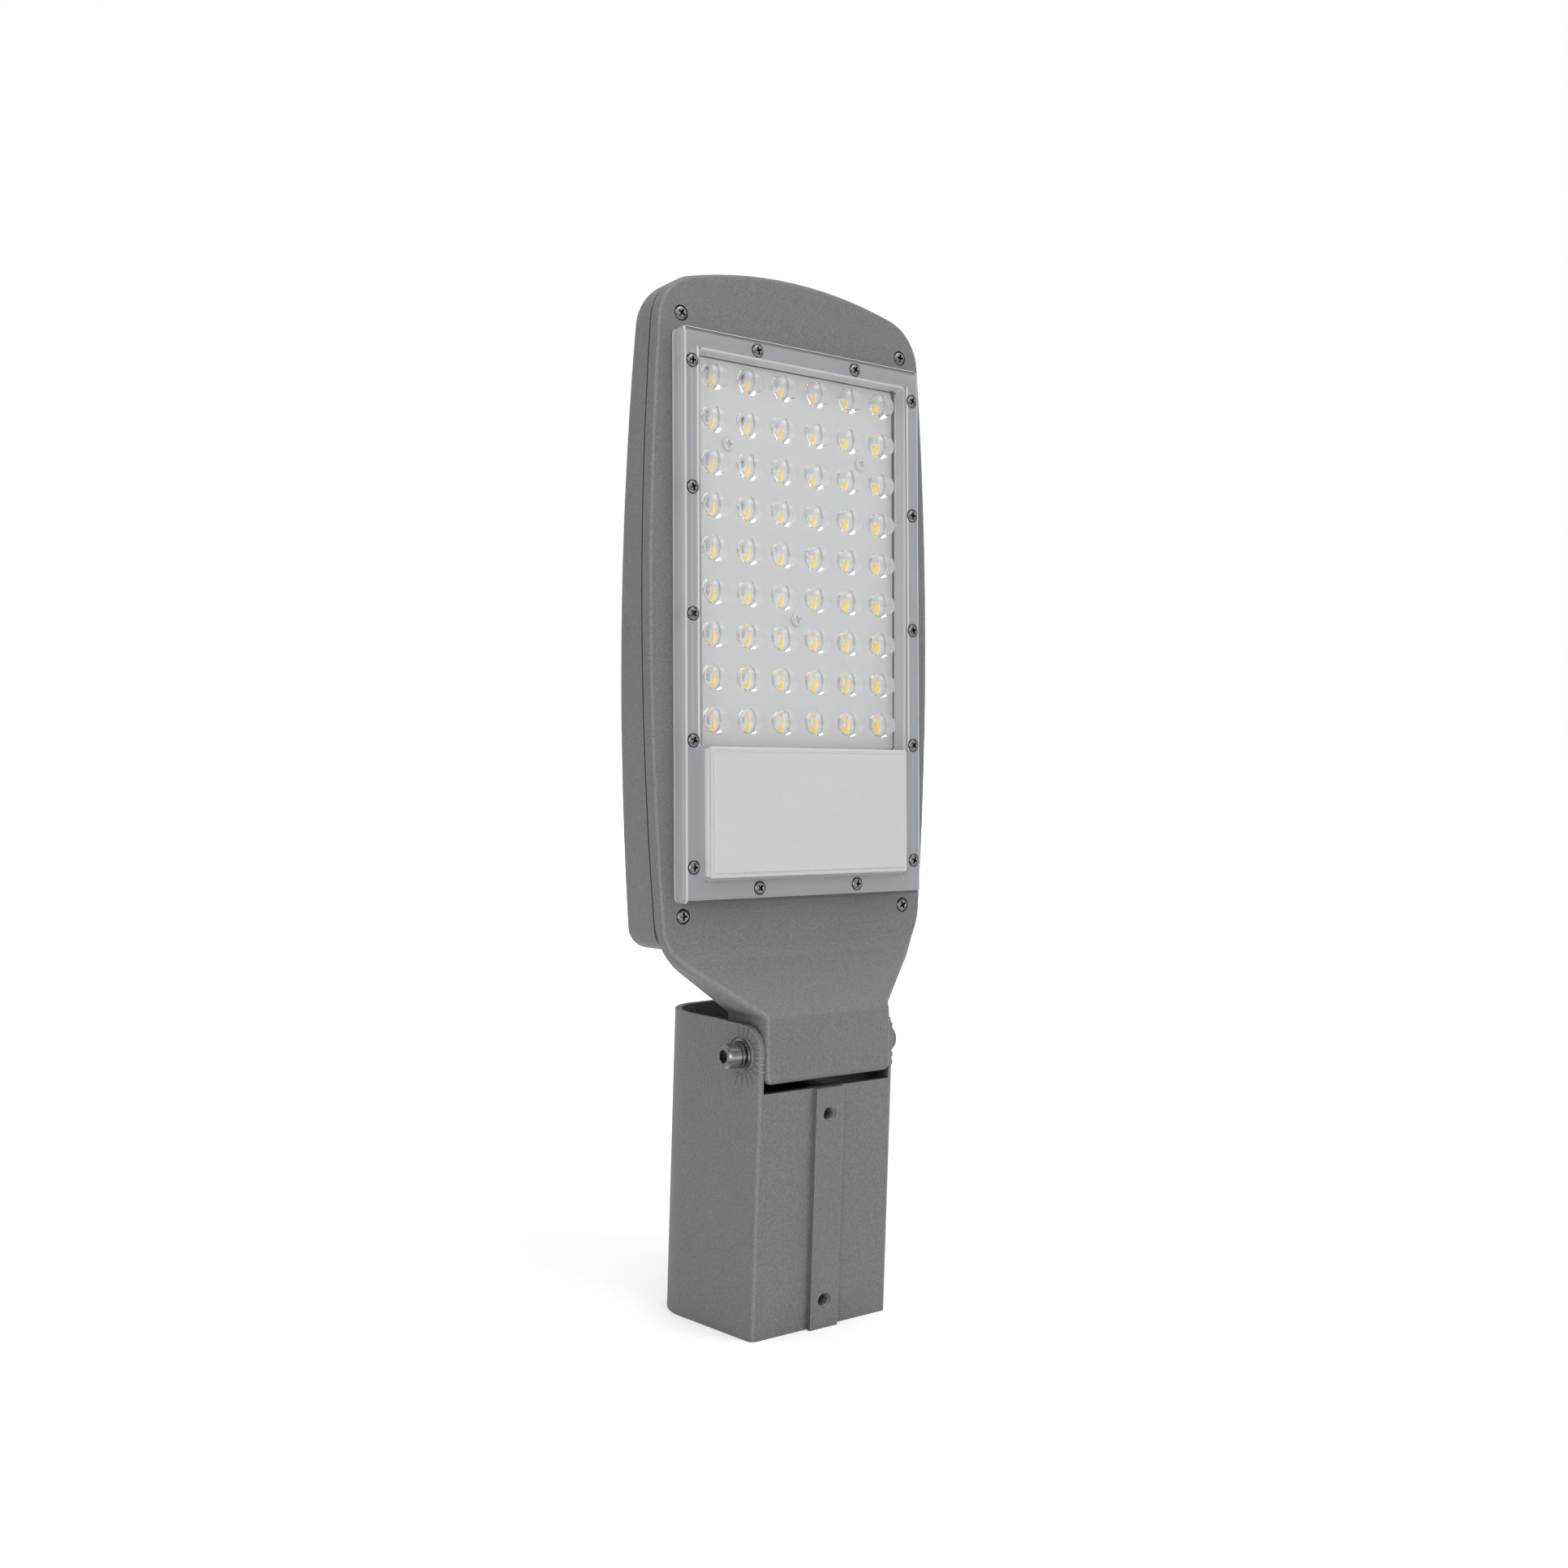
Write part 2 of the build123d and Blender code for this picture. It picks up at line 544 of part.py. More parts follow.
# ---- fasteners ----------------------------------------------------------------------------------
def cross_screw(head_r, head_h, shank_r, length):
    """Pan head with a cross recess; the head's underside is at the origin, shank towards +Y."""
    head = rod_y(0, 0, head_r, -head_h, 0)
    head = fillet(head.edges().sort_by(Axis.Y)[0], head_h * 0.55)
    slot = block((-head_r * 0.58, head_r * 0.58), (-head_h - 1, -head_h * 0.3),
                 (-head_r * 0.16, head_r * 0.16))
    head -= slot
    head -= Rot(0, 90, 0) * slot
    return head + rod_y(0, 0, shank_r, -0.1, length)


def screws_at(places, screw, seat_y, spin=0):
    """Copies of one screw; each is turned a little further than the last, as fitted screws are."""
    return group([Pos(x, seat_y, z) * Rot(0, spin * i, 0) * screw for i, (x, z) in enumerate(places)])


def pivot_bolt():
    """Long M6 socket-head screw through both ears; its head sits on the washers at the left."""
    seat = -PAD_X - FLAT_THICK - SPRING_THICK - 3 * FIT
    head = rod_x(0, 0, BOLT_HEAD_R, seat - BOLT_HEAD_LENGTH, seat)
    head = chamfer(head.edges().sort_by(Axis.X)[0], 0.8)
    hexagon = extrude(RegularPolygon(BOLT_HEX_R, 6), 1 + BOLT_HEX_DEPTH)
    head -= Pos(seat - BOLT_HEAD_LENGTH - 1, 0, 0) * Rot(0, 90, 0) * hexagon
    return head + rod_x(0, 0, BOLT_R, seat - 0.1, THREAD_BOSS_X - 0.6)


def flat_washer():
    face = -PAD_X - FIT
    return rod_x(0, 0, FLAT_R, face - FLAT_THICK, face) - rod_x(0, 0, 3.2, face - 5, face + 5)


def spring_washer():
    """Split washer: a ring with an angled cut across it."""
    face = -PAD_X - FLAT_THICK - 2 * FIT
    ring = rod_x(0, 0, SPRING_R, face - SPRING_THICK, face) - rod_x(0, 0, 3.1, face - 5, face + 5)
    cut = Pos(face - SPRING_THICK / 2, 0, 4.3) * Rot(0, 0, -25) * Box(5, 0.9, 3.4)
    return ring - cut


# ---- solar panel --------------------------------------------------------------------------------
def solar_cells():
    """Rectangular cells in a grid, with narrow gaps between them."""
    width = 2 * (PANEL_HALF - 3.5)
    length = PANEL_LENGTH - 8
    gap = 1.6
    cell_w = (width - gap * (CELL_COLUMNS - 1)) / CELL_COLUMNS
    cell_l = (length - gap * (CELL_ROWS - 1)) / CELL_ROWS
    cells = []
    for column in range(CELL_COLUMNS):
        for row in range(CELL_ROWS):
            x = -width / 2 + cell_w / 2 + column * (cell_w + gap)
            z = -length / 2 + cell_l / 2 + row * (cell_l + gap)
            cell = Pos(x, -CELL_THICK / 2, z) * Box(cell_w, CELL_THICK - 2 * FIT, cell_l)
            cells.append(on_back(PANEL_Z, GLASS_THICK) * cell)
    return group(cells)


def solar_backsheet():
    depth = GLASS_THICK + CELL_THICK
    sheet = panel_layer(PANEL_HALF, PANEL_LENGTH, PANEL_R - 0.5, depth, BACKSHEET_THICK)
    hole = on_back(PANEL_Z - 40, 0) * block((-5, 5), (-20, 1), (-2.5, 2.5))
    return sheet - hole


def panel_seal():
    depth = GLASS_THICK + CELL_THICK + BACKSHEET_THICK + FIT
    thick = SEAL_THICK - 2 * FIT
    outer = panel_layer(PANEL_HALF - 0.5, PANEL_LENGTH - 1, 3, depth, thick)
    return outer - panel_layer(PANEL_HALF - 6.5, PANEL_LENGTH - 13, 2, depth - 1, thick + 2)


# ---- battery and controller ---------------------------------------------------------------------
def battery_x():
    return [(i - 1.5) * BATTERY_PITCH for i in range(4)]


def battery_cells():
    cells = []
    for x in battery_x():
        can = Pos(x, BATTERY_Y, BATTERY_BOTTOM + BATTERY_LENGTH / 2) * Cylinder(BATTERY_R, BATTERY_LENGTH)
        can = fillet(can.edges().filter_by(GeomType.CIRCLE), 0.8)
        cells.append(can)
    return group(cells)


def battery_tabs():
    """Nickel strips welded across the cell ends."""
    strips = []
    for z in (BATTERY_BOTTOM - FIT - 0.3, BATTERY_BOTTOM + BATTERY_LENGTH + FIT):
        half = 1.5 * BATTERY_PITCH + 4
        strips.append(block((-half, half), (BATTERY_Y - 3.5, BATTERY_Y + 3.5), (z, z + 0.3)))
    return group(strips)


def cradle_feet():
    return [(side * FOOT_X, z) for side in (-1, 1) for z in FOOT_Z]


def controller_posts():
    return [(side * POST_X, z) for side in (-1, 1) for z in POST_Z]


def battery_cradle():
    """Two combs joined by side rails, with feet on the casting and posts for the controller."""
    low, high = CRADLE_Z
    y = (CRADLE_FRONT_Y, CRADLE_BACK_Y)
    frame = block((-CRADLE_HALF, CRADLE_HALF), y, (low, high))
    frame -= block((-CRADLE_HALF + 3, CRADLE_HALF - 3), (y[0] - 1, y[1] + 1),
                   (low + CRADLE_BAR, high - CRADLE_BAR))
    for side in (-1, 1):
        for z in FOOT_Z:
            edge = sorted((side * (CRADLE_HALF - 1), side * FOOT_END))
            frame += block(edge, FOOT_Y, (z - FOOT_HALF, z + FOOT_HALF))
    for x, z in controller_posts():
        frame += rod_y(x, z, POST_R, CONTROLLER_Y + CONTROLLER_THICK + FIT, CRADLE_FRONT_Y + 0.5)
        frame -= rod_y(x, z, 1.25, 0, CRADLE_FRONT_Y + 1.2)
    for x, z in cradle_feet():
        frame -= rod_y(x, z, M3_CLEAR_R, 0, 30)
    for x in battery_x():
        frame -= Pos(x, BATTERY_Y, 90) * Cylinder(BATTERY_R + 0.05, 120)
    return frame


def controller_board():
    low, high = CONTROLLER_Z
    outline = rounded(2 * CONTROLLER_HALF, low, high, 1.5)
    board = slab(outline, CONTROLLER_Y, CONTROLLER_Y + CONTROLLER_THICK)
    for x, z in controller_posts():
        board -= rod_y(x, z, 1.4, CONTROLLER_Y - 1, CONTROLLER_Y + CONTROLLER_THICK + 1)
    return board


def controller_components():
    """Inductor, capacitors, switching transistors and the controller chip."""
    face = CONTROLLER_Y - FIT
    parts = [block((-4, 4), (face - 1.6, face), (86, 94))]
    parts += [block((x, x + 6.5), (face - 2.3, face), (97, 101.5)) for x in (-24, -14, 10)]
    parts += [rod_y(x, 89.5, 4.0, face - 4.6, face) for x in (-25, -14)]
    parts += [rod_y(17, 90.0, 6.0, face - 4.2, face)]
    parts += [block((x, x + 2), (face - 0.6, face), (84, 85.2)) for x in (-8, 0, 5)]
    return group(parts)


def connector_x():
    return (-26.0, 0.0, 26.0)


def controller_connectors():
    """Three two-way plugs along the controller's top edge."""
    face = CONTROLLER_Y - FIT
    plugs = []
    for x in connector_x():
        plug = block((x - 4, x + 4), (face - PLUG_DEPTH, face), (104, 111))
        for wire in (-2, 2):
            plug -= Pos(x + wire, face - PLUG_DEPTH / 2, 111) * Cylinder(0.9, 4)
        plugs.append(plug)
    return group(plugs)


def wire(points):
    """A round wire along a smooth path."""
    path = Spline(*points)
    return sweep(Plane(path @ 0, z_dir=path % 0) * Circle(WIRE_R), path)


def led_leads():
    y = CONTROLLER_Y - FIT - PLUG_DEPTH / 2
    path = [(y, 110.0), (y, 112.5), (8.4, 116.0), (10.8, 118.7), (11.42, 120.6), (11.45, 122.6)]
    return group([wire([(x, *point) for point in path]) for x in (-2, 2)])


def side_lead(x, side, end):
    """From a plug on the controller, round the cradle's rail, to a point behind it."""
    y = CONTROLLER_Y - FIT - PLUG_DEPTH / 2
    out = side * 43.6
    bend = side * 36.0
    return wire([(x, y, 110.0), (x, y, 112.4), (bend, y + 1, 114.6), (out, 12.0, 114.8),
                 (out, 19.0, 116.0), end])


def panel_leads():
    return group([side_lead(24, 1, (30, 25.0, 132.0)), side_lead(28, 1, (34, 23.5, 129.0))])


def battery_leads():
    return group([side_lead(-24, -1, (-33, 23.0, 120.0)), side_lead(-28, -1, (-38, 24.5, 122.5))])


# ---- every node ---------------------------------------------------------------------------------
save(pole_sleeve(), "pole_sleeve", lean=False)
save(front_casting(), "front_casting")
save(rear_housing(), "rear_housing")
save(gasket_groove(0.12), "housing_gasket")
save(lens_cover(), "lens_cover")
save(gasket_path(RIM_BACK_Y + 0.03, FACE_Y + 0.85, GASKET_WIDTH), "cover_gasket")
save(led_board(), "led_board")
chip = led_chip()
save(group([Pos(x, BOARD_Y, z) * chip for x, z in led_places()]), "led_chips")
save(thermal_pad(), "thermal_pad")
save(screws_at(BOARD_SCREWS, cross_screw(M3_HEAD_R, 1.2, M3_SHANK_R, 4.2), BOARD_Y - FIT, 35), "board_screws")
cover_screw = cross_screw(COVER_HEAD_R, 2.0, M3_SHANK_R, COVER_SCREW_LENGTH)
save(screws_at(COVER_SCREWS, cover_screw, RIM_FACE_Y + COVER_SCREW_SEAT - FIT, 23), "cover_screws")
body_screw = cross_screw(BODY_HEAD_R, 2.2, BODY_SHANK_R, BODY_SCREW_LENGTH)
save(screws_at(BODY_SCREWS, body_screw, FACE_Y + BODY_SCREW_SEAT - FIT, 31), "housing_screws")
pivot = Pos(0, PIVOT_Y, PIVOT_Z)
save(pivot * pivot_bolt(), "pivot_bolt", lean=False)
save(pivot * spring_washer(), "spring_washer", lean=False)
save(pivot * flat_washer(), "flat_washer", lean=False)
save(panel_layer(PANEL_HALF, PANEL_LENGTH, PANEL_R - 0.5, 0, GLASS_THICK - 2 * FIT), "solar_glass")
save(solar_cells(), "solar_cells")
save(solar_backsheet(), "solar_backsheet")
save(panel_seal(), "panel_seal")
save(battery_cells(), "battery_cells")
save(battery_tabs(), "battery_tabs")
save(battery_cradle(), "battery_cradle")
foot_screw = Rot(180, 0, 0) * cross_screw(M3_HEAD_R, 1.8, M3_SHANK_R, 4.2)
save(screws_at(cradle_feet(), foot_screw, FOOT_Y[1] + FIT), "cradle_screws")
save(controller_board(), "controller_board")
save(controller_components(), "controller_components")
save(controller_connectors(), "controller_connectors")
post_screw = cross_screw(2.2, 1.5, 1.2, 4.6)
save(screws_at(controller_posts(), post_screw, CONTROLLER_Y - FIT), "controller_screws")
save(led_leads(), "led_leads")
save(panel_leads(), "panel_leads")
save(battery_leads(), "battery_leads")
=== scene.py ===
"""Looks of the tilting street-lamp head. Lengths are millimetres in the head's own frame: the head
straight up, the origin on the tilt axis, lenses towards -Y. HEAD carries them to the row frame."""
import json
from math import atan, ceil, cos, exp, pi, radians, sin, tau

import bmesh
import bpy
from mathutils import Matrix, Vector
from mathutils.geometry import tessellate_polygon


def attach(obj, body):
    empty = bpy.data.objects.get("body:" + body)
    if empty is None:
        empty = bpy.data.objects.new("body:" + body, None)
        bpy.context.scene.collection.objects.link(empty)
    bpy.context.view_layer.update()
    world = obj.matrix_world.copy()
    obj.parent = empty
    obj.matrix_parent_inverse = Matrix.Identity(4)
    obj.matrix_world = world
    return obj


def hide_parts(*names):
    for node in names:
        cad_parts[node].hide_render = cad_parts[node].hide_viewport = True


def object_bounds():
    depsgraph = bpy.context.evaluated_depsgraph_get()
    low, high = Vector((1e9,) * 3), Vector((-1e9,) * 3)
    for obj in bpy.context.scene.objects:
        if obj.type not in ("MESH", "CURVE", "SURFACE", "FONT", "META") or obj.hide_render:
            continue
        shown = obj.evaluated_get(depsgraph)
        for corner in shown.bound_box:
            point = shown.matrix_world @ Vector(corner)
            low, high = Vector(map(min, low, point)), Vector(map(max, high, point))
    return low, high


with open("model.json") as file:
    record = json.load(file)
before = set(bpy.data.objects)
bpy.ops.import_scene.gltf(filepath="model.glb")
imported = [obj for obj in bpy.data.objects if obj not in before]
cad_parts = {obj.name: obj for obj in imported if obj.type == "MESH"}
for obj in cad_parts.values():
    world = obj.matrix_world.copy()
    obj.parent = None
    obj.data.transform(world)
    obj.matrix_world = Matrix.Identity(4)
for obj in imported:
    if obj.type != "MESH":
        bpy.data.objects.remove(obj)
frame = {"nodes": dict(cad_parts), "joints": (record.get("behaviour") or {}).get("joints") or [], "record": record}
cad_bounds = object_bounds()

# ---- frame --------------------------------------------------------------------------------------
MM = 0.001
NODES = frame["nodes"]
PIVOT = Vector(frame["joints"][0]["pos_m"])


def lean_of(node):
    """How far a flat plate leans back, from the normal of its largest face."""
    normal = max(NODES[node].data.polygons, key=lambda face: face.area).normal
    return atan(-normal.z / normal.y)


LEAN = lean_of("led_board")
HEAD = Matrix.Translation(PIVOT) @ Matrix.Rotation(-LEAN, 4, "X") @ Matrix.Scale(MM, 4)
ROW = Matrix.Scale(MM, 4)


def points_of(node):
    back = HEAD.inverted()
    return [back @ v.co for v in NODES[node].data.vertices]


def box_of(points):
    low = Vector(min(p[i] for p in points) for i in range(3))
    high = Vector(max(p[i] for p in points) for i in range(3))
    return low, high


def solids_of(node, reach):
    """Boxes of a node's separate solids, told apart by their distance in X and Z."""
    groups = []
    for p in points_of(node):
        for group in groups:
            if (p.x - group[0].x) ** 2 + (p.z - group[0].z) ** 2 < reach ** 2:
                group.append(p)
                break
        else:
            groups.append([p])
    return [box_of(group) for group in groups]


COVER_LOW, COVER_HIGH = box_of(points_of("lens_cover"))
CHIPS_LOW, CHIPS_HIGH = box_of(points_of("led_chips"))
COVER_SCREWS = [((low.x + high.x) / 2, (low.z + high.z) / 2) for low, high in solids_of("cover_screws", 9)]

CHIP = 3.0
COLUMNS = 6
ROWS = 9
PITCH = (CHIPS_HIGH.x - CHIPS_LOW.x - CHIP) / (COLUMNS - 1)
LED_TOP = CHIPS_HIGH.z - CHIP / 2

# ---- cover sizes, measured in from the CAD cover's own box ----------------------------------------
RIM_FRONT = COVER_LOW.y + 2.7
RIM_BACK = COVER_HIGH.y
FLOOR_FRONT = COVER_LOW.y + 8.1
FLOOR_BACK = FLOOR_FRONT + 1.8
WINDOW_HALF = COVER_HIGH.x - 8.1
WINDOW_TOP = COVER_HIGH.z - 8.2
BOX_HALF = COVER_HIGH.x - 10.2
BOX_LOW = COVER_LOW.z + 9.7
BOX_HIGH = BOX_LOW + 52.4
WINDOW_LOW = BOX_HIGH + 0.05
BOX_EDGE = 1.0
BOX_CORNER = 1.5
BOX_WALL = 2.0
BOX_SHORT = 0.4             # the box's walls end this far in front of the rim's back
RIM_CHAMFER = 1.3
TOP_CHAMFER = 2.0
RIM_CORNER = 2.5
COUNTERBORE = 2.95
SCREW_HOLE = 1.65
SCREW_SEAT = 1.4
LIP = 0.35                  # half the width of the sloping lip round the opening
HOLE_STEPS = 32
BACK_LINE = 0.9             # painted highlight and painted shade lines on the rim: widths from an edge
TOP_LINE = 0.3
SEAM_HALF = 0.35
BEAD_HIGHLIGHT = (1.0, 0.5)           # distance outside the window, half width
GROOVE_SHADE = (0.2, 0.3)
SAME = 1e-6                 # points nearer than this count as one


# ---- shader building ----------------------------------------------------------------------------
class Look:
    """A node material with short ways to add and link nodes."""

    def __init__(self, name):
        self.material = bpy.data.materials.new(name)
        self.material.use_nodes = True
        self.tree = self.material.node_tree
        self.shader = self.tree.nodes["Principled BSDF"]
        self.output = self.tree.nodes["Material Output"]
        self.place = self.node("ShaderNodeTexCoord").outputs["Object"]

    def node(self, kind, inputs=None, **settings):
        made = self.tree.nodes.new(kind)
        for key, value in settings.items():
            setattr(made, key, value)
        for key, value in (inputs or {}).items():
            self.set(made.inputs[key], value)
        return made

    def set(self, socket, value):
        if isinstance(value, bpy.types.NodeSocket):
            self.tree.links.new(value, socket)
        else:
            socket.default_value = value

    def paint(self, **values):
        for key, value in values.items():
            self.set(self.shader.inputs[key.replace("_", " ")], value)

    def noise(self, scale, detail=3.0, place=None):
        inputs = {"Vector": place or self.place, "Scale": scale, "Detail": detail, "Roughness": 0.6}
        return self.node("ShaderNodeTexNoise", inputs).outputs["Fac"]

    def ramp(self, value, low, high, start=0.3, end=0.7):
        """Spread a 0 to 1 value between two numbers."""
        inputs = {"Value": value, "From Min": start, "From Max": end, "To Min": low, "To Max": high}
        return self.node("ShaderNodeMapRange", inputs).outputs["Result"]

    def math(self, operation, a, b=0.0, c=0.0):
        return self.node("ShaderNodeMath", {0: a, 1: b, 2: c}, operation=operation).outputs[0]

    def tint(self, colour, factor):
        """A colour times a number."""
        black = (0.0, 0.0, 0.0, 1.0)
        inputs = {"Factor": factor, 6: black, 7: (*colour, 1.0)}
        made = self.node("ShaderNodeMix", inputs, data_type="RGBA", clamp_factor=False)
        return made.outputs[2]

    def blend(self, factor, first, second):
        first = first if isinstance(first, bpy.types.NodeSocket) else (*first, 1.0)
        second = second if isinstance(second, bpy.types.NodeSocket) else (*second, 1.0)
        made = self.node("ShaderNodeMix", {"Factor": factor, 6: first, 7: second}, data_type="RGBA")
        return made.outputs[2]

    def bump(self, height, depth_mm):
        inputs = {"Height": height, "Distance": depth_mm * MM, "Strength": 1.0}
        self.set(self.shader.inputs["Normal"], self.node("ShaderNodeBump", inputs).outputs["Normal"])

    def edges(self, radius_mm):
        """Near 1 on sharp edges and 0 on flats."""
        soft = self.node("ShaderNodeBevel", {"Radius": radius_mm * MM}, samples=4).outputs["Normal"]
        flat = self.node("ShaderNodeNewGeometry").outputs["Normal"]
        dot = self.node("ShaderNodeVectorMath", {0: soft, 1: flat}, operation="DOT_PRODUCT")
        return self.ramp(dot.outputs["Value"], 1.0, 0.0, 0.75, 0.995)

    def facing(self):
        """The surface's direction in the row frame at rest, as X, Y and Z."""
        normal = self.node("ShaderNodeTexCoord").outputs["Normal"]
        return self.node("ShaderNodeSeparateXYZ", {0: normal}).outputs

    def upright_corner(self):
        """Near 1 where a front surface starts to turn to the side."""
        sideways = self.math("ABSOLUTE", self.facing()["X"])
        rising = self.ramp(sideways, 0.0, 1.0, 0.1, 0.3)
        falling = self.ramp(sideways, 1.0, 0.0, 0.6, 0.8)
        return self.math("MULTIPLY", rising, falling)

    def along(self, axis):
        """A shaded point's coordinate along an axis of the head's frame, in millimetres."""
        row = HEAD.inverted()[axis]
        dot = self.node("ShaderNodeVectorMath", {0: self.place, 1: row.xyz}, operation="DOT_PRODUCT")
        return self.math("ADD", dot.outputs["Value"], row.w)

    def near(self, value, target, reach):
        return self.math("COMPARE", value, target, reach)

    def round_window(self):
        """1 on the walls and lip of the cover's opening."""
        across = self.near(self.along(0), 0.0, WINDOW_HALF + LIP + 0.1)
        up = self.near(self.along(2), (WINDOW_TOP + BOX_LOW) / 2, (WINDOW_TOP - BOX_LOW) / 2 + LIP + 0.6)
        turned = self.math("LESS_THAN", self.math("ABSOLUTE", self.facing()["Y"]), 0.9)
        return self.math("MULTIPLY", self.math("MULTIPLY", across, up), turned)

    def let_light_through(self, share):
        """Shadow and diffuse rays partly pass, so light reaches what lies behind the plastic."""
        rays = self.node("ShaderNodeLightPath")
        soft = self.math("MAXIMUM", rays.outputs["Is Shadow Ray"], rays.outputs["Is Diffuse Ray"])
        clear = self.node("ShaderNodeBsdfTransparent", {"Color": (1.0, 1.0, 1.0, 1.0)}).outputs[0]
        surface = self.output.inputs["Surface"].links[0].from_socket
        mix = self.node("ShaderNodeMixShader", {0: self.math("MULTIPLY", soft, share), 1: surface, 2: clear})
        self.set(self.output.inputs["Surface"], mix.outputs[0])

    def haze(self, share, colour):
        """Mix diffuse colour into a clear plastic."""
        surface = self.output.inputs["Surface"].links[0].from_socket
        colour = colour if isinstance(colour, bpy.types.NodeSocket) else (*colour, 1.0)
        soft = self.node("ShaderNodeBsdfDiffuse", {"Color": colour}).outputs[0]
        mix = self.node("ShaderNodeMixShader", {0: share, 1: surface, 2: soft})
        self.set(self.output.inputs["Surface"], mix.outputs[0])


def powder_coat():
    look = Look("powder_coat")
    fine = look.noise(1250.0, 2.0)
    broad = look.noise(28.0, 3.0)
    tone = look.math("MULTIPLY", look.ramp(fine, 0.82, 1.18), look.ramp(broad, 0.97, 1.03))
    # painted highlight: sharp edges lightened by up to 42 %
    tone = look.math("MULTIPLY", tone, look.math("MULTIPLY_ADD", look.edges(0.7), 0.42, 1.0))
    # painted shade: hollows and creases darkened by ambient occlusion
    occlusion_shade = look.node("ShaderNodeAmbientOcclusion", {"Distance": 30.0 * MM}, samples=6).outputs["AO"]
    tone = look.math("MULTIPLY", tone, look.ramp(occlusion_shade, 0.25, 1.0, 0.12, 0.42))
    # painted highlight: a lighter band where the front turns to the side
    tone = look.math("MULTIPLY", tone, look.math("MULTIPLY_ADD", look.upright_corner(), 0.30, 1.0))
    look.paint(Base_Color=look.tint((0.171, 0.177, 0.184), tone), Roughness=look.ramp(broad, 0.46, 0.54))
    look.bump(fine, 0.05)
    return look.material


def clear_plastic(name, haze, haze_colour, roughness):
    look = Look(name)
    wave = look.noise(90.0, 1.0)
    look.paint(Base_Color=(0.975, 0.985, 0.99, 1.0), Roughness=look.ramp(wave, roughness, roughness + 0.02),
               IOR=1.58, Transmission_Weight=1.0)
    look.bump(wave, 0.02)
    if haze:
        look.haze(haze, haze_colour)
    look.let_light_through(0.92)
    return look.material


def rim_plastic():
    """Clear plastic mostly covered by a grey haze that stands in for the casting seen through it, with painted
    light:
    painted shade and a duller finish on edges sloping up or down, painted highlight streaks on the upright outer
    walls, pale painted light on the walls round the window."""
    look = Look("clear_cover")
    wave = look.noise(90.0, 1.0)
    normal = look.facing()
    upright = look.math("ABSOLUTE", normal["Z"])
    tipped = look.ramp(upright, 0.0, 1.0, 0.25, 0.5)
    not_level = look.ramp(upright, 1.0, 0.0, 0.85, 0.97)
    sloped = look.math("MULTIPLY", tipped, not_level)
    side = look.ramp(look.math("ABSOLUTE", normal["X"]), 0.0, 1.0, 0.5, 0.9)
    depth_only = {"X": look.math("MULTIPLY", look.along(1), 0.9)}
    highlight_streaks = look.noise(1.0, 2.0, look.node("ShaderNodeCombineXYZ", depth_only).outputs[0])
    # painted shade on edges sloping up or down; painted highlight on the upright outer walls, streaked along the
    # depth
    body = look.blend(sloped, (0.38, 0.395, 0.41), (0.13, 0.135, 0.14))
    wall_highlight = look.tint((0.47, 0.485, 0.50), look.ramp(highlight_streaks, 0.8, 1.3))
    colour = look.blend(side, body, wall_highlight)
    # painted light: the walls and lip round the window made pale
    colour = look.blend(look.round_window(), colour, (0.66, 0.665, 0.67))
    across, depth_in, up = (look.along(axis) for axis in range(3))
    # painted highlight lines at the back of the side walls, along the chamfer's inner edge, along the top and
    # beside the window; a painted shade line between that one and the opening
    back_highlight = look.math("MULTIPLY", side, look.math("GREATER_THAN", depth_in, RIM_BACK - BACK_LINE))
    seam_highlight = look.near(look.math("ABSOLUTE", across), COVER_HIGH.x - RIM_CHAMFER, SEAM_HALF)
    top_highlight = look.math("GREATER_THAN", up, COVER_HIGH.z - TOP_LINE)
    beside = look.math("SUBTRACT", look.math("ABSOLUTE", across), WINDOW_HALF)
    above_box = look.math("GREATER_THAN", up, WINDOW_LOW)
    below_top = look.math("LESS_THAN", up, WINDOW_TOP + 0.6)
    window = look.math("MULTIPLY", above_box, below_top)
    bead_highlight = look.math("MULTIPLY", window, look.near(beside, *BEAD_HIGHLIGHT))
    groove_shade = look.math("MULTIPLY", window, look.near(beside, *GROOVE_SHADE))
    highlight_lines = look.math("MAXIMUM", look.math("MAXIMUM", back_highlight, seam_highlight), look.math("MAXIMUM", top_highlight, bead_highlight))
    colour = look.blend(look.math("MULTIPLY", highlight_lines, 0.75), colour, (0.85, 0.86, 0.87))
    colour = look.blend(look.math("MULTIPLY", groove_shade, 0.8), colour, (0.2, 0.205, 0.21))
    look.paint(Base_Color=(0.975, 0.985, 0.99, 1.0), Roughness=look.ramp(wave, 0.05, 0.09), IOR=1.58,
               Transmission_Weight=1.0)
    look.bump(wave, 0.02)
    # a thicker haze on sloping edges carries their painted shade
    look.haze(look.math("MULTIPLY_ADD", sloped, 0.24, 0.72), colour)
    look.let_light_through(0.6)
    return look.material


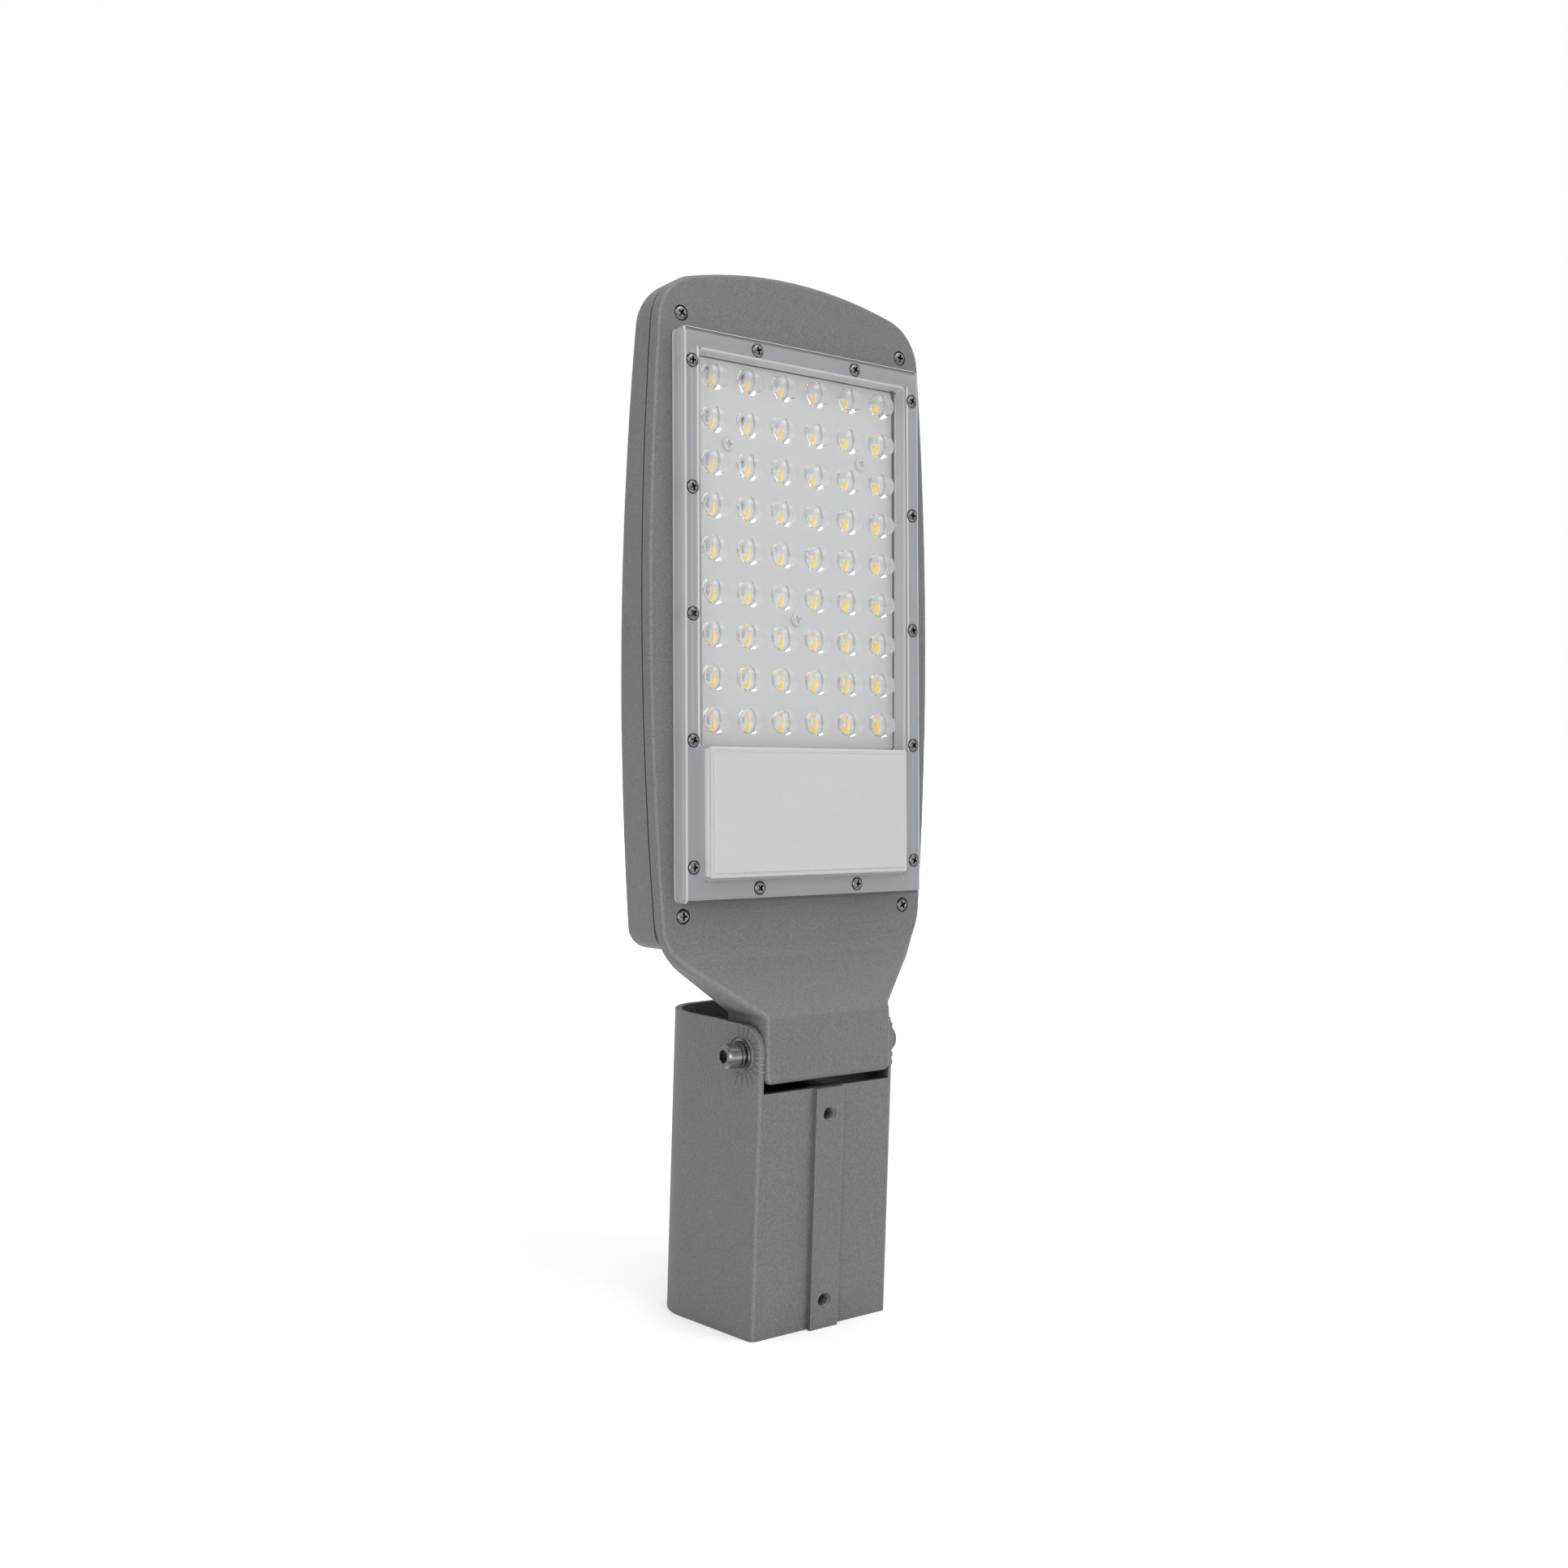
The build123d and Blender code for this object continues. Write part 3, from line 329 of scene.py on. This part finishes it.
def frosted_plastic():
    look = Look("frosted_box")
    grain = look.noise(2200.0, 2.0)
    broad = look.noise(16.0, 2.0)
    sideways = look.math("ABSOLUTE", look.facing()["X"])
    # painted shade on the rounded edges turning from the front to the sides; painted light on the side walls, up
    # to 1.75 times brighter
    edge = look.ramp(sideways, 1.0, 0.82, 0.15, 0.5)
    wall_highlight = look.ramp(sideways, 1.0, 1.75, 0.8, 0.97)
    tone = look.math("MULTIPLY", look.math("MULTIPLY", edge, wall_highlight), look.ramp(broad, 0.985, 1.015))
    look.paint(Base_Color=look.tint((0.585, 0.595, 0.60), tone),
               Roughness=look.ramp(grain, 0.30, 0.38), IOR=1.55, Coat_Weight=0.3, Coat_Roughness=0.12)
    look.bump(grain, 0.004)
    return look.material


def solid_paint(name, colour, roughness, scale=900.0, depth=0.01, spread=0.04, metallic=0.0):
    """A plain finish with fine grain in tone, gloss and height."""
    look = Look(name)
    grain = look.noise(scale, 3.0)
    look.paint(Base_Color=look.tint(colour, look.ramp(grain, 1 - spread, 1 + spread)),
               Roughness=look.ramp(grain, roughness * 0.9, roughness * 1.1), Metallic=metallic)
    look.bump(grain, depth)
    return look.material


def stainless():
    look = Look("stainless")
    turned = look.noise(2600.0, 2.0)
    stain = look.noise(260.0, 3.0)
    # painted shade: recesses such as cross slots darkened by ambient occlusion
    hollow = look.node("ShaderNodeAmbientOcclusion", {"Distance": 1.6 * MM}, samples=6).outputs["AO"]
    tone = look.math("MULTIPLY", look.ramp(stain, 0.85, 1.08), look.ramp(hollow, 0.22, 1.0, 0.2, 0.9))
    # painted reflection: light and dark bands that follow the surface's tilt up or down
    around = look.math("SINE", look.math("MULTIPLY_ADD", look.facing()["Z"], 8.0, 0.6))
    tone = look.math("MULTIPLY", tone, look.ramp(around, 0.32, 1.15, -1.0, 1.0))
    # painted reflection: faces turned along X, such as bolt ends, darkened
    end_reflection_shade = look.ramp(look.math("ABSOLUTE", look.facing()["X"]), 1.0, 0.55, 0.9, 0.98)
    tone = look.math("MULTIPLY", tone, end_reflection_shade)
    look.paint(Base_Color=look.tint((0.40, 0.395, 0.39), tone), Metallic=1.0,
               Roughness=look.ramp(turned, 0.16, 0.28))
    look.bump(turned, 0.004)
    return look.material


def phosphor():
    look = Look("led_white")
    grain = look.noise(4000.0, 2.0)
    # painted glow: the phosphor gives off a faint yellow light of its own
    look.paint(Base_Color=look.tint((0.88, 0.62, 0.10), look.ramp(grain, 0.93, 1.07)), Roughness=0.45,
               Emission_Color=(0.88, 0.62, 0.10, 1.0), Emission_Strength=0.15)
    look.bump(grain, 0.01)
    return look.material


def solar_cell():
    """Blue-black silicon with thin silver fingers across it."""
    look = Look("solar_cell")
    grain = look.noise(160.0, 2.0)
    height = look.node("ShaderNodeSeparateXYZ", {0: look.place}).outputs["Z"]
    phase = look.math("FRACT", look.math("MULTIPLY", height, 1000.0 / 2.1))
    finger = look.math("LESS_THAN", phase, 0.07)
    silicon = look.tint((0.012, 0.021, 0.062), look.ramp(grain, 0.8, 1.25))
    look.paint(Base_Color=look.blend(finger, silicon, (0.32, 0.34, 0.37)),
               Roughness=look.ramp(grain, 0.24, 0.34), Coat_Weight=0.5, Coat_Roughness=0.1)
    look.bump(grain, 0.01)
    return look.material


def panel_glass():
    look = Look("solar_glass")
    orange_peel = look.noise(700.0, 1.0)
    look.paint(Base_Color=(0.93, 0.96, 0.96, 1.0), Roughness=look.ramp(orange_peel, 0.06, 0.12), IOR=1.5,
               Transmission_Weight=1.0)
    look.bump(orange_peel, 0.012)
    look.let_light_through(0.95)
    return look.material


LENS = clear_plastic("clear_lens", 0.07, (0.72, 0.73, 0.74), 0.015)
RIM = rim_plastic()
FROSTED = frosted_plastic()
PHOSPHOR = phosphor()
RIBBON = solid_paint("ribbon", (0.62, 0.62, 0.60), 0.3, metallic=1.0)
FINISH = {
    "powder_coat": powder_coat(),
    "clear_cover": RIM,
    "white_board": solid_paint("white_board", (0.64, 0.64, 0.64), 0.42, 1400.0, 0.006, 0.02),
    "led_white": solid_paint("chip_body", (0.80, 0.79, 0.74), 0.35),
    "stainless": stainless(),
    "silicone": solid_paint("silicone", (0.25, 0.25, 0.25), 0.6),
    "solar_glass": panel_glass(),
    "solar_cell": solar_cell(),
    "backsheet": solid_paint("backsheet", (0.80, 0.80, 0.79), 0.5, 500.0),
    "battery_wrap": solid_paint("battery_wrap", (0.02, 0.11, 0.28), 0.3, 300.0),
    "nickel": solid_paint("nickel", (0.60, 0.57, 0.52), 0.3, 2000.0, 0.01, 0.08, 1.0),
    "black_plastic": solid_paint("black_plastic", (0.018, 0.018, 0.02), 0.5, 1200.0),
    "circuit_green": solid_paint("circuit_green", (0.01, 0.10, 0.04), 0.3, 900.0),
    "component_black": solid_paint("component_black", (0.02, 0.02, 0.022), 0.45, 1500.0),
    "connector_white": solid_paint("connector_white", (0.72, 0.70, 0.64), 0.45, 900.0),
    "wire_red": solid_paint("wire_red", (0.36, 0.02, 0.015), 0.4, 900.0),
    "wire_white": solid_paint("wire_white", (0.68, 0.68, 0.66), 0.4, 900.0),
}


# ---- mesh building ------------------------------------------------------------------------------
def piece(name, points, faces, material, body="head", matrix=HEAD, sharp=35.0):
    """A closed mesh from points in millimetres, welded, turned outwards and set to ride on a body."""
    mesh = bpy.data.meshes.new(name)
    mesh.from_pydata([Vector(p) for p in points], [], faces)
    return finish_mesh(name, mesh, material, body, matrix, sharp)


def finish_mesh(name, mesh, material, body, matrix, sharp):
    work = bmesh.new()
    work.from_mesh(mesh)
    bmesh.ops.remove_doubles(work, verts=work.verts, dist=0.004)
    bmesh.ops.recalc_face_normals(work, faces=work.faces)
    loose = sum(1 for edge in work.edges if not edge.is_manifold)
    if loose:
        print("open edges in", name, loose)
    work.to_mesh(mesh)
    work.free()
    mesh.transform(matrix)
    mesh.shade_smooth()
    mesh.set_sharp_from_angle(angle=radians(sharp))
    mesh.materials.clear()
    mesh.materials.append(material)
    made = bpy.data.objects.new(name, mesh)
    bpy.context.scene.collection.objects.link(made)
    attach(made, body)
    return made


def rounded_loop(half, low, high, radius, steps=8):
    """Points of a rounded rectangle in X and Z, centred on X."""
    loop = []
    centres = [(half - radius, high - radius), (radius - half, high - radius),
               (radius - half, low + radius), (half - radius, low + radius)]
    for quarter, (x, z) in enumerate(centres):
        for step in range(steps + 1):
            angle = (quarter + step / steps) * pi / 2
            loop.append((x + radius * cos(angle), z + radius * sin(angle)))
    return loop


def circle_loop(x, z, radius):
    angles = [tau * i / HOLE_STEPS for i in range(HOLE_STEPS)]
    return [(x + radius * cos(angle), z + radius * sin(angle)) for angle in angles]


def tube_faces(count, rings, first=0):
    """Quads between consecutive rings of equal length."""
    faces = []
    for ring in range(rings - 1):
        base = first + ring * count
        for i in range(count):
            j = (i + 1) % count
            faces.append((base + i, base + j, base + count + j, base + count + i))
    return faces


def joined(parts):
    """One list of points and faces from several."""
    points, faces = [], []
    for some_points, some_faces in parts:
        first = len(points)
        points += some_points
        faces += [tuple(first + i for i in face) for face in some_faces]
    return points, faces


# ---- lens cover: rim ----------------------------------------------------------------------------
def opening_loop(grow):
    """The window and, a step narrower below it, the raised box."""
    waist = WINDOW_LOW - 0.5
    window = rounded_loop(WINDOW_HALF + grow, waist, WINDOW_TOP + grow, 1.2)
    box = rounded_loop(BOX_HALF + 0.5 + grow, BOX_LOW - 0.5 - grow, waist, 2.0)
    return window[:len(window) // 2] + box[len(box) // 2:]


def rim_plate():
    """The clear frame round the window and the raised box, chamfered outside, with stepped screw
    holes. Every edge of the plate is a list of (loop, y) sections from front to back."""
    seat = RIM_FRONT + SCREW_SEAT
    outer = rounded_loop(COVER_HIGH.x, COVER_LOW.z, COVER_HIGH.z, RIM_CORNER)
    inner = rounded_loop(COVER_HIGH.x - RIM_CHAMFER, COVER_LOW.z + RIM_CHAMFER, COVER_HIGH.z - TOP_CHAMFER,
                         RIM_CORNER - RIM_CHAMFER / 2)
    edges = [[(inner, RIM_FRONT), (outer, RIM_FRONT + RIM_CHAMFER), (outer, RIM_BACK)]]
    opening = opening_loop(-LIP)
    edges.append([(opening_loop(LIP), RIM_FRONT), (opening, RIM_FRONT + 2 * LIP), (opening, RIM_BACK)])
    for x, z in COVER_SCREWS:
        wide, narrow = circle_loop(x, z, COUNTERBORE), circle_loop(x, z, SCREW_HOLE)
        edges.append([(wide, RIM_FRONT), (wide, seat), (narrow, seat), (narrow, RIM_BACK)])
    parts = []
    for sections in edges:
        points = [(x, y, z) for loop, y in sections for x, z in loop]
        parts.append((points, tube_faces(len(sections[0][0]), len(sections))))
    for end in (0, -1):
        loops = [[Vector((x, z, 0.0)) for x, z in sections[end][0]] for sections in edges]
        points = [(v.x, edges[0][end][1], v.y) for loop in loops for v in loop]
        parts.append((points, tessellate_polygon(loops)))
    points, faces = joined(parts)
    return piece("cover_rim", points, faces, RIM, sharp=40.0)


# ---- lens cover: lens field ---------------------------------------------------------------------
LENS_X = 6.6
LENS_Z = 5.2
LENS_POWER = 2.3
LENS_HEIGHT = 5.0
VALLEY = 0.12
VALLEY_WIDTH = 1.8
SKIRT = 0.94
SKIRT_HEIGHT = 1.3
LENS_DROP = 0.45            # power of the cap's and the skirt's fall towards their edges
POCKET_X = 2.0
POCKET_Z = 4.0
POCKET_DEPTH = 2.5
FIELD_GAP = LIP + 0.45      # between the lens field and the window's edge
AROUND = 48


def lens_reach(angle):
    """Outline radius of a slightly squared oval."""
    x, z = abs(cos(angle)) / LENS_X, abs(sin(angle)) / LENS_Z
    return (x ** LENS_POWER + z ** LENS_POWER) ** (-1 / LENS_POWER)


def lens_height(x, share):
    """Height at a place that lies this share of the way out: a low skirt, and on it a taller cap
    that dips along its middle."""
    if share >= SKIRT:
        return SKIRT_HEIGHT * ((1 - share ** 2) / (1 - SKIRT ** 2)) ** LENS_DROP
    dip = 1 - VALLEY * exp(-(x / VALLEY_WIDTH) ** 2)
    return SKIRT_HEIGHT + (LENS_HEIGHT - SKIRT_HEIGHT) * dip * (1 - (share / SKIRT) ** 2) ** LENS_DROP


def lens_rings():
    """Front of one lens from its middle out to its edge, as (x, height, z)."""
    shares = [SKIRT * sin(pi / 2 * step / 10) for step in range(1, 11)]
    shares += [SKIRT + (1 - SKIRT) * sin(pi / 2 * step / 5) for step in range(1, 6)]
    rings = []
    for share in shares:
        ring = []
        for i in range(AROUND):
            angle = tau * i / AROUND
            reach = lens_reach(angle) * share
            x, z = reach * cos(angle), reach * sin(angle)
            ring.append((x, lens_height(x, share), z))
        rings.append(ring)
    return rings


def pocket_rings():
    """The oval pocket behind the lens, over the light chip."""
    rings = []
    for step in range(1, 9):
        share = sin(pi / 2 * step / 8)
        lift = POCKET_DEPTH * cos(pi / 2 * step / 8)
        angles = [tau * i / AROUND for i in range(AROUND)]
        half_x, half_z = POCKET_X * share, POCKET_Z * share
        rings.append([(half_x * cos(angle), lift, half_z * sin(angle)) for angle in angles])
    return rings


def square_edge(column, row):
    """The cell's edge, stretched to the window's edge on outer cells, as offsets from the LED."""
    half = PITCH / 2
    x_led = (column - (COLUMNS - 1) / 2) * PITCH
    z_led = LED_TOP - row * PITCH
    left = x_led + WINDOW_HALF if column == 0 else half
    right = WINDOW_HALF - x_led if column == COLUMNS - 1 else half
    above = WINDOW_TOP - z_led if row == 0 else half
    below = z_led - WINDOW_LOW if row == ROWS - 1 else half
    edge = []
    for i in range(AROUND):
        angle = tau * i / AROUND
        stretch = 1 / max(abs(cos(angle)), abs(sin(angle)))
        x, z = cos(angle) * stretch, sin(angle) * stretch
        edge.append((x * (right if x > 0 else left), z * (above if z > 0 else below)))
    return x_led, z_led, edge


def lens_field():
    """The window's floor with one lens in front of, and one pocket behind, every light chip."""
    points, faces = [], []
    front_rings, back_rings = lens_rings(), pocket_rings()
    half = WINDOW_HALF - FIELD_GAP
    low, high = WINDOW_LOW + FIELD_GAP, WINDOW_TOP - FIELD_GAP
    for column in range(COLUMNS):
        for row in range(ROWS):
            x_led, z_led, edge = square_edge(column, row)
            outer = [(min(max(x_led + x, -half), half), min(max(z_led + z, low), high)) for x, z in edge]
            for rings, level in ((front_rings, FLOOR_FRONT), (back_rings, FLOOR_BACK)):
                first = len(points)
                points.append((x_led, level - (LENS_TOP if rings is front_rings else POCKET_DEPTH), z_led))
                for ring in rings:
                    points += [(x_led + x, level - lift, z_led + z) for x, lift, z in ring]
                points += [(x, level, z) for x, z in outer]
                faces += [(first, first + 1 + i, first + 1 + (i + 1) % AROUND) for i in range(AROUND)]
                faces += tube_faces(AROUND, len(rings) + 1, first + 1)
            edge_first = len(points) - AROUND
            other_first = edge_first - (1 + AROUND * (len(back_rings) + 1))
            for i in range(AROUND):
                j = (i + 1) % AROUND
                (x, z), (u, w) = outer[i], outer[j]
                on_side = abs(abs(x) - half) < SAME and abs(x - u) < SAME
                on_end = min(abs(z - high), abs(z - low)) < SAME and abs(z - w) < SAME
                if on_side or on_end:
                    faces.append((other_first + i, other_first + j, edge_first + j, edge_first + i))
    return piece("lens_field", points, faces, LENS, sharp=38.0)


LENS_TOP = lens_height(0.0, 0.0)


# ---- lens cover: raised box ---------------------------------------------------------------------
def raised_box():
    """The hollow frosted box below the window, with rounded front edges."""
    front, back = COVER_LOW.y, RIM_BACK - BOX_SHORT
    sections = [(BOX_WALL + 3.0, front + BOX_WALL), (BOX_WALL, front + BOX_WALL + 0.4), (BOX_WALL, back)]
    sections += [(0.0, back), (0.0, front + BOX_EDGE)]
    for step in range(1, 7):
        angle = pi / 2 * step / 6
        sections.append((BOX_EDGE * (1 - cos(angle)), front + BOX_EDGE * (1 - sin(angle))))
    points = []
    for inset, y in sections:
        corner = max(BOX_CORNER - inset / 2, 0.5)
        ring = rounded_loop(BOX_HALF - inset, BOX_LOW + inset, BOX_HIGH - inset, corner)
        points += [(x, y, z) for x, z in ring]
    count = len(points) // len(sections)
    faces = tube_faces(count, len(sections))
    faces.append(tuple(range(count)))
    faces.append(tuple(range(len(points) - count, len(points))))
    return piece("raised_box", points, faces, FROSTED, sharp=40.0)


def cube_relief():
    """Faint tumbling-block facets on the box's front: a triangle lattice at three heights."""
    edge = 6.3
    step = 0.45
    margin = 2.2
    front = COVER_LOW.y
    centre = (BOX_LOW + BOX_HIGH) / 2
    half_height = (BOX_HIGH - BOX_LOW) / 2 - margin
    half_width = BOX_HALF - margin
    across = ceil(half_width / (edge * cos(pi / 6))) + 1
    up = ceil(half_height / edge) + 1
    points, index, faces = [], {}, []
    for i in range(-across, across + 1):
        for j in range(-up - across, up + across + 1):
            height = edge * (i / 2 + j)
            if abs(height) < half_height + 2 * edge:
                index[i, j] = len(points)
                points.append((i * edge * cos(pi / 6), -step * ((i - j) % 3), height))
    for i, j in index:
        for triangle in (((i, j), (i + 1, j), (i, j + 1)), ((i + 1, j), (i + 1, j + 1), (i, j + 1))):
            if all(corner in index for corner in triangle):
                faces.append(tuple(index[corner] for corner in triangle))
    mesh = bpy.data.meshes.new("cube_relief")
    mesh.from_pydata(points, [], faces)
    work = bmesh.new()
    work.from_mesh(mesh)
    for normal, reach in (((1, 0, 0), half_width), ((-1, 0, 0), half_width),
                          ((0, 0, 1), half_height), ((0, 0, -1), half_height)):
        everything = work.verts[:] + work.edges[:] + work.faces[:]
        bmesh.ops.bisect_plane(work, geom=everything, plane_co=Vector(normal) * reach, plane_no=normal,
                               clear_outer=True)
    grown = bmesh.ops.extrude_face_region(work, geom=work.faces[:])["geom"]
    for vert in grown:
        if isinstance(vert, bmesh.types.BMVert):
            vert.co.y = 0.5
    work.to_mesh(mesh)
    work.free()
    mesh.transform(Matrix.Translation((0, front - 0.02, centre)))
    return finish_mesh("cube_relief", mesh, FROSTED, "head", HEAD, 0.5)


# ---- small pieces -------------------------------------------------------------------------------
def phosphor_pads():
    """The yellow phosphor bar on every light chip, domed a little."""
    front = CHIPS_LOW.y
    half, half_height, corner = 0.6, 1.4, 0.3
    sections = ((0.0, front + 0.12), (0.0, front - 0.04), (0.25, front - 0.12))
    parts = []
    for column in range(COLUMNS):
        for row in range(ROWS):
            x, z = (column - (COLUMNS - 1) / 2) * PITCH, LED_TOP - row * PITCH
            points = []
            for inset, y in sections:
                high = half_height - inset
                loop = rounded_loop(half - inset, -high, high, corner - inset / 2, 4)
                points += [(x + u, y, z + w) for u, w in loop]
            count = len(points) // len(sections)
            caps = [tuple(range(count)), tuple(range(len(points) - count, len(points)))]
            parts.append((points, tube_faces(count, len(sections)) + caps))
    points, faces = joined(parts)
    return piece("phosphor_pads", points, faces, PHOSPHOR)


def slab_between(low, high, up, out):
    """A block between two corners given along X, up and out."""
    xs, ups, outs = zip(low, high)
    points = [Vector((x, 0, 0)) + up * u + out * w for x in xs for u in ups for w in outs]
    faces = [(0, 1, 3, 2), (4, 6, 7, 5), (0, 4, 5, 1), (2, 3, 7, 6), (0, 2, 6, 4), (1, 5, 7, 3)]
    return points, faces


RIBBON_HALF = 0.6
OVERHANG = 1.6              # of a ribbon past the cells
CROSS_WIDTH = 1.8
SUNK = 0.1                  # depth of a ribbon inside the cells


def cell_ribbons():
    """Flat silver ribbons: two down every column of solar cells, joined at both ends."""
    normal = max(NODES["solar_glass"].data.polygons, key=lambda face: face.area).normal
    out = HEAD.inverted().to_3x3() @ normal
    out = out.normalized() * (1 if out.y > 0 else -1)
    up = Vector((1, 0, 0)).cross(out)
    cells = points_of("solar_cells")
    low_up, high_up = min(p @ up for p in cells), max(p @ up for p in cells)
    top = max(p @ out for p in cells)
    columns = solids_of("solar_cells", 12)
    lowest = min(low.z for low, high in columns)
    parts = []
    for low, high in columns:
        if low.z < lowest + 1:
            for share in (0.27, 0.73):
                x = low.x + share * (high.x - low.x)
                low_corner = (x - RIBBON_HALF, low_up - OVERHANG, top - SUNK)
                high_corner = (x + RIBBON_HALF, high_up + OVERHANG, top + 0.04)
                parts.append(slab_between(low_corner, high_corner, up, out))
    reach = max(high.x for low, high in columns) - 3
    for end in (low_up - 2.6, high_up + 0.8):
        parts.append(slab_between((-reach, end, top - SUNK), (reach, end + CROSS_WIDTH, top + 0.03), up, out))
    points, faces = joined(parts)
    return piece("cell_ribbons", points, faces, RIBBON)


THREAD_PITCH = 1.0
RIDGE = 0.5
THREAD_LENGTH = 6.2


def thread(centre, radius, length):
    """An internal thread: a ring whose inner face carries a helical ridge. Opens towards -Y."""
    around, along = 48, ceil(length / THREAD_PITCH) * 8
    points = []
    for k in range(along + 1):
        y = centre.y + length * k / along
        for i in range(around):
            phase = (length * k / along / THREAD_PITCH + i / around) % 1.0
            ridge = max(0.0, 1 - abs(phase - 0.5) * 2.6)
            fade = min(1.0, k / 6, (along - k) / 6)
            inner = radius - 0.08 - RIDGE * ridge * fade
            angle = tau * i / around
            points.append((centre.x + inner * cos(angle), y, centre.z + inner * sin(angle)))
    for y in (centre.y + length, centre.y):
        angles = [tau * i / around for i in range(around)]
        points += [(centre.x + radius * cos(angle), y, centre.z + radius * sin(angle)) for angle in angles]
    points += points[:around]
    return points, tube_faces(around, along + 4)


def set_screw_threads():
    """Threads inside the two tapped holes of the sleeve."""
    holes = [m for m in frame["record"]["mounts"] if m["name"] == "set_screws"][0]
    centre = Vector(holes["pos_m"]) / MM
    half = holes["dims"]["spacing_y_mm"] / 2
    radius = holes["dims"]["hole_r_mm"]
    places = [centre + Vector((0, 0.05, side * half)) for side in (-1, 1)]
    parts = [thread(place, radius - 0.01, THREAD_LENGTH) for place in places]
    points, faces = joined(parts)
    return piece("set_screw_threads", points, faces, FINISH["powder_coat"], "sleeve", ROW)


def dress_frame():
    """Give every CAD node its finish."""
    for part in frame["record"]["subparts"]:
        node = NODES[part["node"]]
        node.data.materials.clear()
        node.data.materials.append(FINISH[part["material_slot"]])


# ---- stage --------------------------------------------------------------------------------------
def floor():
    """A plain pale floor at the sleeve's mouth that fades to white with distance."""
    mesh = bpy.data.meshes.new("floor")
    half = 30.0
    level = cad_bounds[0].z
    corners = [(-half, -half, level), (half, -half, level), (half, half, level), (-half, half, level)]
    mesh.from_pydata(corners, [], [(0, 1, 2, 3)])
    look = Look("floor")
    grain = look.noise(60.0, 2.0)
    away = look.node("ShaderNodeVectorMath", {0: look.place}, operation="LENGTH").outputs["Value"]
    look.paint(Base_Color=look.tint((0.92, 0.92, 0.92), look.ramp(grain, 0.99, 1.01)), Roughness=0.8,
               Emission_Color=(1.0, 1.0, 1.0, 1.0), Specular_IOR_Level=0.1)
    seen = look.node("ShaderNodeLightPath").outputs["Is Camera Ray"]
    look.paint(Emission_Strength=look.math("MULTIPLY", seen, look.ramp(away, 0.30, 1.0, 0.2, 2.5)))
    mesh.materials.append(look.material)
    made = bpy.data.objects.new("floor", mesh)
    bpy.context.scene.collection.objects.link(made)


def softbox(name, where, aim, width, height, power):
    light = bpy.data.lights.new(name, "AREA")
    light.shape = "RECTANGLE"
    light.size = width
    light.size_y = height
    light.energy = power
    made = bpy.data.objects.new(name, light)
    made.location = where
    made.rotation_euler = (Vector(aim) - Vector(where)).to_track_quat("-Z", "Y").to_euler()
    bpy.context.scene.collection.objects.link(made)


def studio():
    """White behind the lamp; an even room for its light, a contrasty one for its reflections."""
    world = bpy.data.worlds.new("studio")
    world.use_nodes = True
    bpy.context.scene.world = world
    tree = world.node_tree

    def add(kind, inputs, **settings):
        node = tree.nodes.new(kind)
        for key, value in settings.items():
            setattr(node, key, value)
        for key, value in inputs.items():
            if isinstance(value, bpy.types.NodeSocket):
                tree.links.new(value, node.inputs[key])
            else:
                node.inputs[key].default_value = value
        return node.outputs

    place = add("ShaderNodeTexCoord", {})["Generated"]
    axes = add("ShaderNodeSeparateXYZ", {0: place})
    rays = add("ShaderNodeLightPath", {})

    def spread(value, start, end, low, high):
        limits = {"Value": value, "From Min": start, "From Max": end, "To Min": low, "To Max": high}
        return add("ShaderNodeMapRange", limits)["Result"]

    def choose(share, first, second):
        return add("ShaderNodeMix", {0: share, 2: first, 3: second})[0]

    even = spread(axes["X"], -1.0, 1.0, 0.74, 0.90)
    mirror = spread(axes["Z"], -0.1, 0.8, 0.22, 0.95)
    strength = choose(rays["Is Glossy Ray"], even, mirror)
    strength = choose(rays["Is Camera Ray"], strength, 1.0)
    tree.links.new(strength, tree.nodes["Background"].inputs["Strength"])
    tree.nodes["Background"].inputs["Color"].default_value = (1.0, 1.0, 1.0, 1.0)
    middle = (0, 0, cad_bounds[1].z / 2)
    softbox("key", (0.5, -1.3, 2.1), middle, 1.2, 1.2, 12.0)
    softbox("strip", (-1.5, -1.1, 0.5), middle, 0.12, 1.5, 3.0)
    scene = bpy.context.scene
    scene.view_settings.view_transform = "Standard"
    scene.view_settings.look = "None"


def camera():
    """Low and close on the lamp's left, level, with a slight roll."""
    heading, pitch, roll = radians(36.41), radians(0.573), radians(-0.229)
    forward = Vector((sin(heading) * cos(pitch), cos(heading) * cos(pitch), sin(pitch)))
    level = Vector((cos(heading), -sin(heading), 0.0))
    above = level.cross(forward)
    right = level * cos(roll) + above * sin(roll)
    up = above * cos(roll) - level * sin(roll)
    turn = HEAD.to_3x3().normalized()
    placed = Matrix([turn @ right, turn @ up, -(turn @ forward)]).transposed().to_4x4()
    placed.translation = HEAD @ Vector((-402.9, -525.8, 101.3))
    data = bpy.data.cameras.new("camera")
    data.lens = 36.86
    data.clip_start = 0.05
    made = bpy.data.objects.new("camera", data)
    made.matrix_world = placed
    bpy.context.scene.collection.objects.link(made)
    bpy.context.scene.camera = made


dress_frame()
cover = rim_plate()
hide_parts("lens_cover")
for made in (lens_field(), raised_box(), cube_relief()):
    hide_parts("lens_cover")
phosphor_pads()
cell_ribbons()
set_screw_threads()
floor()
studio()
camera()
